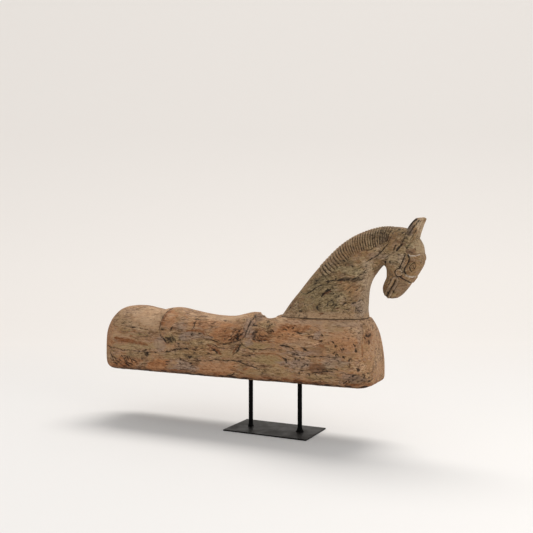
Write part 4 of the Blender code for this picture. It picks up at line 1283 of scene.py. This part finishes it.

# %% [markdown]
# The ears are carved from the same block, but they stand up from it, so each is a small body of its
# own whose root goes deep into the head. A hollow runs down its outer face, painted darker than the
# rest as shade.

# %% Ears
EAR_ROW = [
    (302, 289, 6.0, 5.0),
    (305.5, 298, 9.8, 8.6),
    (309, 308, 11.6, 9.6),
    (312.5, 318, 11.4, 9.5),
    (316.5, 327, 10.6, 8.6),
    (321.5, 336, 9.4, 7.4),
    (326.6, 343, 8.2, 6.0),
    (328.8, 346.2, 6.4, 4.6),
]
EAR_SPREAD = (17.5, 13.0)
EAR_HOLLOW = 3.0
FAR_EAR_LIFT = 2.2
EAR_HOLLOW_TURN, EAR_HOLLOW_WIDTH = 0.74, 0.42
EAR_TIP = 0.87
EAR_STILL_RINGS = 14
EAR_SIDES, EAR_RINGS = 96, 90
EAR_MARKS = [
    # The three dark strokes down the hollow are painted shade, and so is the hole at the tip, in the gap
    # between the ears.
    ("scratch", 0.6, 0.9, [(417.6, 220.8), (412.8, 227.6), (409.2, 234), (405.8, 240.4), (403.4, 243.4)]),
    ("crack", 1.0, 0.9, [(417, 218.6), (413.4, 221.4), (410, 225), (407.4, 228.6)]),
    ("hole", 0.8, 0.9, [(418.6, 221)]),
    ("scratch", 0.6, 0.6, [(420.4, 221), (416.6, 229), (413, 236.4), (409, 241.6)]),
    ("mauve", 0.9, 0.8, [(411, 229.4), (409.6, 232)]),
    ("rust", 0.6, 0.7, [(414.6, 225.4), (412.4, 228.4)]),
]
EAR_PATCHES = [
    ("mauve", 0.9, (410.6, 230.6), (3, 6)),
    # The pale patch on the ear's right part is painted light.
    ("pale", 0.95, (420.6, 228), (5, 12)),
    # The dark patch is painted shade in the hollow.
    ("dark_patch", 0.6, (409.4, 232), (2.6, 6)),
]


def ear_form(side):
    angle = np.linspace(0, 2 * np.pi, EAR_SIDES, endpoint=False)
    grid = np.empty((EAR_RINGS, EAR_SIDES, 3))
    hollow = np.empty((EAR_RINGS, EAR_SIDES))
    for i, (x, z, half_x, half_y) in enumerate(smooth_rows(EAR_ROW, EAR_RINGS)):
        share = i / (EAR_RINGS - 1)
        middle = EAR_SPREAD[0] + share * (EAR_SPREAD[1] - EAR_SPREAD[0])
        tip = math.sqrt(max(1 - max(0.0, (share - EAR_TIP) / (1 - EAR_TIP)) ** 2, 0.02))
        grid[i, :, 0] = x + half_x * tip * np.cos(angle)
        grid[i, :, 1] = middle + half_y * tip * np.sin(angle)
        lift = FAR_EAR_LIFT * share**4 if side > 0 else 0.0
        grid[i, :, 2] = z + lift - 0.25 * (1 - share**3) * half_x * np.cos(angle)
        rise = math.sin(math.pi * share) ** 0.7
        hollow[i] = rise * hump(angle, EAR_HOLLOW_TURN * np.pi, EAR_HOLLOW_WIDTH)
    grid[..., 1] -= EAR_HOLLOW * hollow
    if side < 0:
        grid = grid * np.array([1.0, -1.0, 1.0])
    return grid, hollow


def make_ear(name, side):
    grid, hollow = ear_form(side)
    normal = outward(grid)
    layers, cut = weather(grid, normal, EAR_MARKS, EAR_PATCHES, 400)
    speck = np.clip(0.5 + rough(grid, (4.0, 3.0, 6.0), 401), 0, 1)
    # The hollow is painted dark as shade, broken by specks, and flecked mauve.
    add_to(layers, "dark", np.clip(hollow * (0.05 + 0.45 * speck**2), 0, 1))
    add_to(layers, "mauve", 0.8 * hollow * (1 - speck))
    still = np.clip(np.arange(EAR_RINGS - 1, -1, -1) / EAR_STILL_RINGS, 0.0, 1.0)[:, None]
    grid = grid + normal * (still * (0.5 * cut + 0.25 * rough(grid, 7.0, 411)))[..., None]
    ear = block(name, drawn_to_metres(grid), layers)
    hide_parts("horse_neck_and_head")
    return ear


ears = [make_ear("ear_near", -1), make_ear("ear_far", 1)]

# %% [markdown]
# Materials are written as sums. This small class wraps a socket, so that adding or multiplying two of
# them adds the Math node that does it. One method of the finish makes every other node from its
# type, its settings and the values or links of its sockets.


# %% Shader arithmetic
class Amount:
    def __init__(self, finish, socket):
        self.finish = finish
        self.socket = socket

    def math(self, operation, first, second=0.0, clamp=False):
        settings = {"operation": operation, "use_clamp": clamp}
        return self.finish.node("ShaderNodeMath", settings, {0: first, 1: second})

    def __add__(self, other):
        return self.math("ADD", self, other)

    def __radd__(self, other):
        return self.math("ADD", other, self)

    def __sub__(self, other):
        return self.math("SUBTRACT", self, other)

    def __rsub__(self, other):
        return self.math("SUBTRACT", other, self)

    def __mul__(self, other):
        return self.math("MULTIPLY", self, other)

    def __rmul__(self, other):
        return self.math("MULTIPLY", other, self)

    def clipped(self):
        return self.math("ADD", self, 0.0, clamp=True)

    def between(self, low, high):
        settings = {"interpolation_type": "SMOOTHSTEP", "clamp": True}
        return self.finish.node("ShaderNodeMapRange", settings, {0: self, 1: low, 2: high})


# %% Finish
class Finish:
    def __init__(self, name):
        self.material = bpy.data.materials.new(name)
        self.material.use_nodes = True
        self.tree = self.material.node_tree
        self.shader = self.tree.nodes["Principled BSDF"]

    def fill(self, socket, value):
        if isinstance(value, Amount):
            self.tree.links.new(value.socket, socket)
        elif isinstance(value, tuple) and len(value) == 3 and socket.type == "RGBA":
            socket.default_value = (*value, 1.0)
        else:
            socket.default_value = value

    def node(self, kind, settings=None, sockets=None, output=0):
        made = self.tree.nodes.new(kind)
        for name, value in (settings or {}).items():
            setattr(made, name, value)
        for name, value in (sockets or {}).items():
            self.fill(made.inputs[name], value)
        return Amount(self, made.outputs[output])

    def set(self, **sockets):
        for name, value in sockets.items():
            self.fill(self.shader.inputs[name.replace("_", " ")], value)

    def mix(self, share, first, second, blend="MIX"):
        settings = {"data_type": "RGBA", "blend_type": blend, "clamp_factor": True}
        return self.node("ShaderNodeMix", settings, {0: share, 6: first, 7: second}, output=2)

    def layer(self, name):
        return self.node("ShaderNodeAttribute", {"attribute_name": name}, output="Fac")

    def stretched(self, scale, turn=(0.0, 0.0, 0.0)):
        place = self.node("ShaderNodeTexCoord", output="Object")
        sockets = {"Vector": place, "Rotation": turn, "Scale": scale}
        return self.node("ShaderNodeMapping", {"vector_type": "POINT"}, sockets)

    def noise(self, place, scale, detail, roughness=0.55, distortion=0.0):
        sockets = {"Vector": place, "Scale": scale, "Detail": detail, "Roughness": roughness}
        sockets["Distortion"] = distortion
        return self.node("ShaderNodeTexNoise", {}, sockets)


def shade(red, green, blue):
    """A colour as the eye reads it, 0 to 255, as the linear values that a shader wants."""
    shares = (c / 255 for c in (red, green, blue))
    return tuple(((c + 0.055) / 1.055) ** 2.4 if c > 0.04 else c / 12.92 for c in shares)


print("sand is", np.round(shade(164, 132, 105), 3))

# %% [markdown]
# The wood is old and dry, so it has no shine at all. Its colour is layered as a restorer would see
# it: a tan ground with broad drifts of warmer and greener wood, long fibres along the grain, small
# dark flecks, and over those the stains and cracks that the mesh carries. A coat is how much it
# covers, its colour and how it blends, and the coats go on in turn. The grain, the flecks and the
# veins also press a little relief into the surface.


# %% Wood finish
SHADED = (0.46, 0.41, 0.38)
LIFTED = (0.13, 0.1, 0.07)
GRAIN = {
    "bloom": ((26.0, 60.0, 80.0), 4.0, 0.6, 1.0),
    "stain": ((34.0, 70.0, 95.0), 3.0, 0.55, 1.4),
    "fibre": ((46.0, 160.0, 210.0), 3.0, 0.6, 1.1),
    "fine": ((120.0, 340.0, 430.0), 3.0, 0.6, 0.6),
    "vein": ((20.0, 70.0, 95.0), 2.0, 0.45, 1.6),
    "fleck": ((72.0, 150.0, 190.0), 2.0, 0.5, 0.9),
}
DRIFT_SCALE = 17.0
# The last layer paints the highlights on the face.
LAYER_STRENGTH = {"orange": 0.9, "olive": 0.85, "mauve": 0.85, "pale": 0.7, "rust": 1.0, "painted_highlight": 1.0}
GRAIN_DEPTH = 0.0014


def wood(name, tones, length, turn):
    finish = Finish(name)

    def grain(kind):
        (along, across, up), detail, roughness, distortion = GRAIN[kind]
        place = finish.stretched((length * along, across, up), turn)
        return finish.noise(place, 1.0, detail, roughness, distortion)

    plain = finish.stretched((1.0, 1.0, 1.0))
    drift = finish.noise(plain, DRIFT_SCALE, 4.0, 0.6, 0.6)
    crowd = finish.noise(plain, DRIFT_SCALE, 3.0, 0.55, 0.6)
    bloom, stain, fibre, fine, vein, fleck = (grain(kind) for kind in GRAIN)
    broken = 0.8 + 0.4 * bloom.between(0.4, 0.6)
    quiet = (1.0 - 0.75 * finish.layer("pale")) * (1.0 - 0.4 * finish.layer("olive"))
    lively = (0.25 + 0.95 * crowd.between(0.56, 0.45)) * quiet
    rusty = fleck.between(0.4, 0.34) * crowd.between(0.46, 0.54)
    lines = (vein - 0.5).math("ABSOLUTE", vein - 0.5).between(0.028, 0.008) * bloom.between(0.42, 0.5)
    spots = fleck.between(0.6, 0.65) * crowd.between(0.51, 0.45)
    cracks = (finish.layer("dark") * (0.78 + 0.5 * fine)).between(0.04, 0.6)
    coats = [
        (stain.between(0.54, 0.57) * 0.4, tones["olive"]),
        (stain.between(0.45, 0.42) * 0.35, tones["mauve"]),
        (bloom.between(0.53, 0.66) * 0.5, tones["light"]),
        (bloom.between(0.47, 0.34) * 0.5, tones["brown"]),
    ]
    for layer, strength in LAYER_STRENGTH.items():
        coats.append(((finish.layer(layer) * broken * strength).clipped(), tones[layer]))
    coats += [
        (fibre.between(0.49, 0.38) * lively * 0.68, SHADED, "MULTIPLY"),
        (fibre.between(0.54, 0.65) * lively * 0.7, LIFTED, "ADD"),
        (fine.between(0.47, 0.37) * (0.3 + 0.5 * lively), SHADED, "MULTIPLY"),
        (fine.between(0.55, 0.66) * (0.3 + 0.45 * lively), LIFTED, "ADD"),
        (rusty * 0.6, tones["rust"]),
        (lines * quiet * 0.4, tones["deep"]),
        (spots * quiet * 0.8, tones["deep"]),
        (cracks * 0.93, tones["deep"]),
    ]
    colour = finish.mix(drift.between(0.38, 0.62), tones["ground"], tones["warm"])
    for share, *coat in coats:
        colour = finish.mix(share, colour, *coat)
    relief = fibre * 0.6 + fine * 0.3 - spots * 0.4 - lines * 0.35
    bump = finish.node("ShaderNodeBump", {}, {"Strength": 0.85, "Distance": GRAIN_DEPTH, "Height": relief})
    finish.set(Base_Color=colour, Roughness=0.86 - 0.1 * fine.between(0.4, 0.7), Normal=bump)
    finish.shader.inputs["Specular IOR Level"].default_value = 0.22
    return finish.material


TRUNK_TONES = {
    "ground": shade(160, 126, 94),
    "warm": shade(168, 128, 93),
    "light": shade(184, 150, 116),
    "brown": shade(102, 73, 48),
    "orange": shade(173, 119, 78),
    "olive": shade(152, 127, 88),
    "mauve": shade(150, 127, 111),
    "pale": shade(194, 162, 130),
    "rust": shade(128, 78, 44),
    # Near-white tone of the painted highlights.
    "painted_highlight": shade(228, 222, 212),
    "deep": shade(44, 33, 25),
}
NECK_TONES = {
    "ground": shade(140, 116, 84),
    "warm": shade(146, 114, 80),
    "light": shade(160, 138, 104),
    "brown": shade(92, 70, 46),
    "orange": shade(150, 110, 74),
    "olive": shade(137, 121, 88),
    "mauve": shade(140, 120, 104),
    "pale": shade(188, 166, 138),
    "rust": shade(108, 68, 42),
    # Near-white tone of the painted highlights.
    "painted_highlight": shade(228, 222, 212),
    "deep": shade(40, 32, 25),
}
trunk_wood = wood("old_trunk_wood", TRUNK_TONES, 1.0, (0.0, 0.0, 0.0))
neck_wood = wood("old_neck_wood", NECK_TONES, 1.5, (0.0, 0.6, 0.0))
carved_trunk.data.materials.append(trunk_wood)
for piece in [carved_neck, *ears]:
    piece.data.materials.append(neck_wood)
print("wood finishes:", trunk_wood.name, neck_wood.name)

# %% [markdown]
# The stand is black steel. Its rods are bar stock, welded to the plate, and the weld is a small
# spreading foot with the ripples that a torch leaves. The plate keeps its solid, whose sharp edges
# are right, and only gets the finish.

# %% Rods
ROD_RADIUS = 0.005
ROD_SIDES = 64
ROD_CHAMFER = 0.0006
WELD_HEIGHTS = {"rear": 0.0075, "front": 0.0105}
WELD_RINGS = 26
FOOT_RIPPLE = 0.00022


def make_rod(end):
    low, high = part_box(f"stand_rod_{end}")
    length = high.z - low.z
    spread = (high.x - low.x) / 2 - ROD_RADIUS
    weld = np.linspace(0, 1, WELD_RINGS) * WELD_HEIGHTS[end]
    rise = np.concatenate([weld, [0.03, 0.08, length - ROD_CHAMFER, length]])
    angle = np.linspace(0, 2 * np.pi, ROD_SIDES, endpoint=False)
    grid = np.empty((len(rise), ROD_SIDES, 3))
    for i, lift in enumerate(rise):
        share = np.clip(1 - lift / WELD_HEIGHTS[end], 0.0, 1.0)
        radius = ROD_RADIUS + spread * share**1.7 - (ROD_CHAMFER if i == len(rise) - 1 else 0.0)
        waves = np.sin(5 * angle + 40 * share) + np.sin(3 * angle - 25 * share)
        radius = radius - FOOT_RIPPLE * 2 * share + FOOT_RIPPLE * math.sqrt(share) * waves
        grid[i, :, 0] = (low.x + high.x) / 2 + radius * np.cos(angle)
        grid[i, :, 1] = radius * np.sin(angle)
        grid[i, :, 2] = low.z + lift
    rod = block(f"rod_{end}", grid, {})
    rod.data.set_sharp_from_angle(angle=math.radians(50))
    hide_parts(f"stand_rod_{end}")
    return rod


rods = [make_rod("rear"), make_rod("front")]


# %% Black steel finish
def black_steel(name, base, worn, roughness, gloss):
    finish = Finish(name)
    plain = finish.stretched((1.0, 1.0, 1.0))
    brushed = finish.noise(finish.stretched((30.0, 260.0, 30.0)), 1.0, 4.0, 0.6)
    cloud = finish.noise(plain, 26.0, 4.0, 0.6, 0.5)
    grit = finish.noise(plain, 900.0, 2.0, 0.5)
    colour = finish.mix(cloud.between(0.35, 0.65), base, worn)
    colour = finish.mix(cloud.between(0.58, 0.7) * brushed.between(0.4, 0.6) * 0.4, colour, shade(46, 38, 30))
    # Every face that does not look up, the plate's edges and the whole of each rod, is painted near black as
    # shade.
    upward = finish.node("ShaderNodeTexCoord", output="Normal")
    level = finish.node("ShaderNodeSeparateXYZ", {}, {"Vector": upward}, output="Z")
    colour = finish.mix(level.between(0.8, 0.4), colour, shade(5, 5, 5))
    relief = grit + brushed * 0.5
    bump = finish.node("ShaderNodeBump", {}, {"Strength": 0.3, "Distance": 0.0002, "Height": relief})
    finish.set(Base_Color=colour, Roughness=roughness + 0.2 * cloud.between(0.3, 0.7), Normal=bump)
    finish.shader.inputs["Specular IOR Level"].default_value = gloss
    return finish.material


rod_steel = black_steel("rod_steel", shade(9, 9, 8), shade(14, 13, 11), 0.5, 0.07)
plate_steel = black_steel("plate_steel", shade(19, 18, 17), shade(29, 26, 23), 0.42, 0.2)
for rod in rods:
    rod.data.materials.append(rod_steel)
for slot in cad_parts["stand_plate"].material_slots:
    slot.material = plate_steel
print("steel on", len(rods), "rods and the plate")

# %% [markdown]
# The horse stands on a pale floor that sweeps up into a wall behind it, so no horizon shows. The
# sweep is one sheet, bent along a quarter circle.

# %% Floor and backdrop
FLOOR_FRONT, FLOOR_BACK, SWEEP_RADIUS, WALL_TOP, HALF_SPAN = -4.0, 1.6, 1.2, 4.0, 5.0
FLOOR_PAPER = (0.78, 0.779, 0.776)
WALL_PAPER = (0.32, 0.315, 0.31)
WALL_GLOW = (0.56, 0.525, 0.49)


def make_backdrop():
    bend = [
        (FLOOR_BACK + SWEEP_RADIUS * math.sin(a), SWEEP_RADIUS * (1 - math.cos(a)))
        for a in np.linspace(0, math.pi / 2, 24)
    ]
    profile = [(FLOOR_FRONT, 0.0), *bend, (FLOOR_BACK + SWEEP_RADIUS, WALL_TOP)]
    points = [(side * HALF_SPAN, y, z) for y, z in profile for side in (-1, 1)]
    faces = [(2 * i, 2 * i + 1, 2 * i + 3, 2 * i + 2) for i in range(len(profile) - 1)]
    mesh = bpy.data.meshes.new("backdrop")
    mesh.from_pydata(points, [], faces)
    mesh.shade_smooth()
    backdrop = bpy.data.objects.new("backdrop", mesh)
    backdrop.rotation_euler = (0.0, 0.0, CAMERA_TURN)
    bpy.context.scene.collection.objects.link(backdrop)
    backdrop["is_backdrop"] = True
    return backdrop


def paper():
    finish = Finish("backdrop_paper")
    place = finish.node("ShaderNodeTexCoord", output="Object")
    back = finish.node("ShaderNodeSeparateXYZ", {}, {"Vector": place}, output="Y")
    finish.set(
        Base_Color=finish.mix(back.between(-0.2, 2.4), FLOOR_PAPER, WALL_PAPER),
        Emission_Color=finish.mix(back.between(0.0, 2.5), (0.0, 0.0, 0.0), WALL_GLOW),
    )
    finish.shader.inputs["Emission Strength"].default_value = 1.0
    finish.shader.inputs["Roughness"].default_value = 0.95
    finish.shader.inputs["Specular IOR Level"].default_value = 0.1
    return finish.material


backdrop = make_backdrop()
backdrop.data.materials.append(paper())
print("backdrop:", len(backdrop.data.polygons), "faces")

# %% [markdown]
# The light is soft. A long lamp hangs high above and behind the horse, so its shadow falls
# towards the camera and fades slowly at both ends. The pale room all round fills the flank, and a
# weak lamp at the right lifts the chest and the face.

# %% Light
SKY_STRENGTH = 0.575
OVERHEAD = {"place": (-0.5, 2.55, 5.6), "aim": (0.0, 0.0, 0.15), "size": (5.4, 2.4), "power": 252.0}
SIDE_FILL = {"place": (1.7, -0.9, 0.8), "aim": (0.1, 0.0, 0.25), "size": (1.2, 1.2), "power": 9.5}
WARM_LAMP = (1.0, 0.95, 0.90)


def make_lamp(name, lamp):
    data = bpy.data.lights.new(name, "AREA")
    data.shape = "ELLIPSE"
    data.size, data.size_y = lamp["size"]
    data.energy = lamp["power"]
    data.color = WARM_LAMP
    thing = bpy.data.objects.new(name, data)
    thing.location = lamp["place"]
    away = np.array(lamp["place"]) - np.array(lamp["aim"])
    flat = math.hypot(away[0], away[1])
    thing.rotation_euler = (math.atan2(flat, away[2]), 0.0, math.atan2(away[0], -away[1]))
    thing.visible_camera = False
    bpy.context.scene.collection.objects.link(thing)
    return thing


def make_sky():
    world = bpy.data.worlds.new("room")
    world.use_nodes = True
    background = world.node_tree.nodes["Background"]
    background.inputs["Color"].default_value = (1.0, 1.0, 1.0, 1.0)
    background.inputs["Strength"].default_value = SKY_STRENGTH
    bpy.context.scene.world = world
    return world


make_lamp("overhead", OVERHEAD)
make_lamp("side_fill", SIDE_FILL)
make_sky()
bpy.context.scene.view_settings.view_transform = "Standard"
bpy.context.scene.view_settings.look = "None"
print("overhead lamp", OVERHEAD["power"], "W, sky", SKY_STRENGTH)

# %% [markdown]
# Last, the boxes of the solids and of the dressed object are noted side by side, so that any growth
# shows at once.

# %% Sizes and finish
dressed_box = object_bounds()
sizes = {
    "solids": [list(corner) for corner in solid_box],
    "dressed": [list(corner) for corner in dressed_box],
}
print("grown by", [round((b - a) * 1000, 2) for a, b in zip(sizes["solids"][1], sizes["dressed"][1])], "mm")
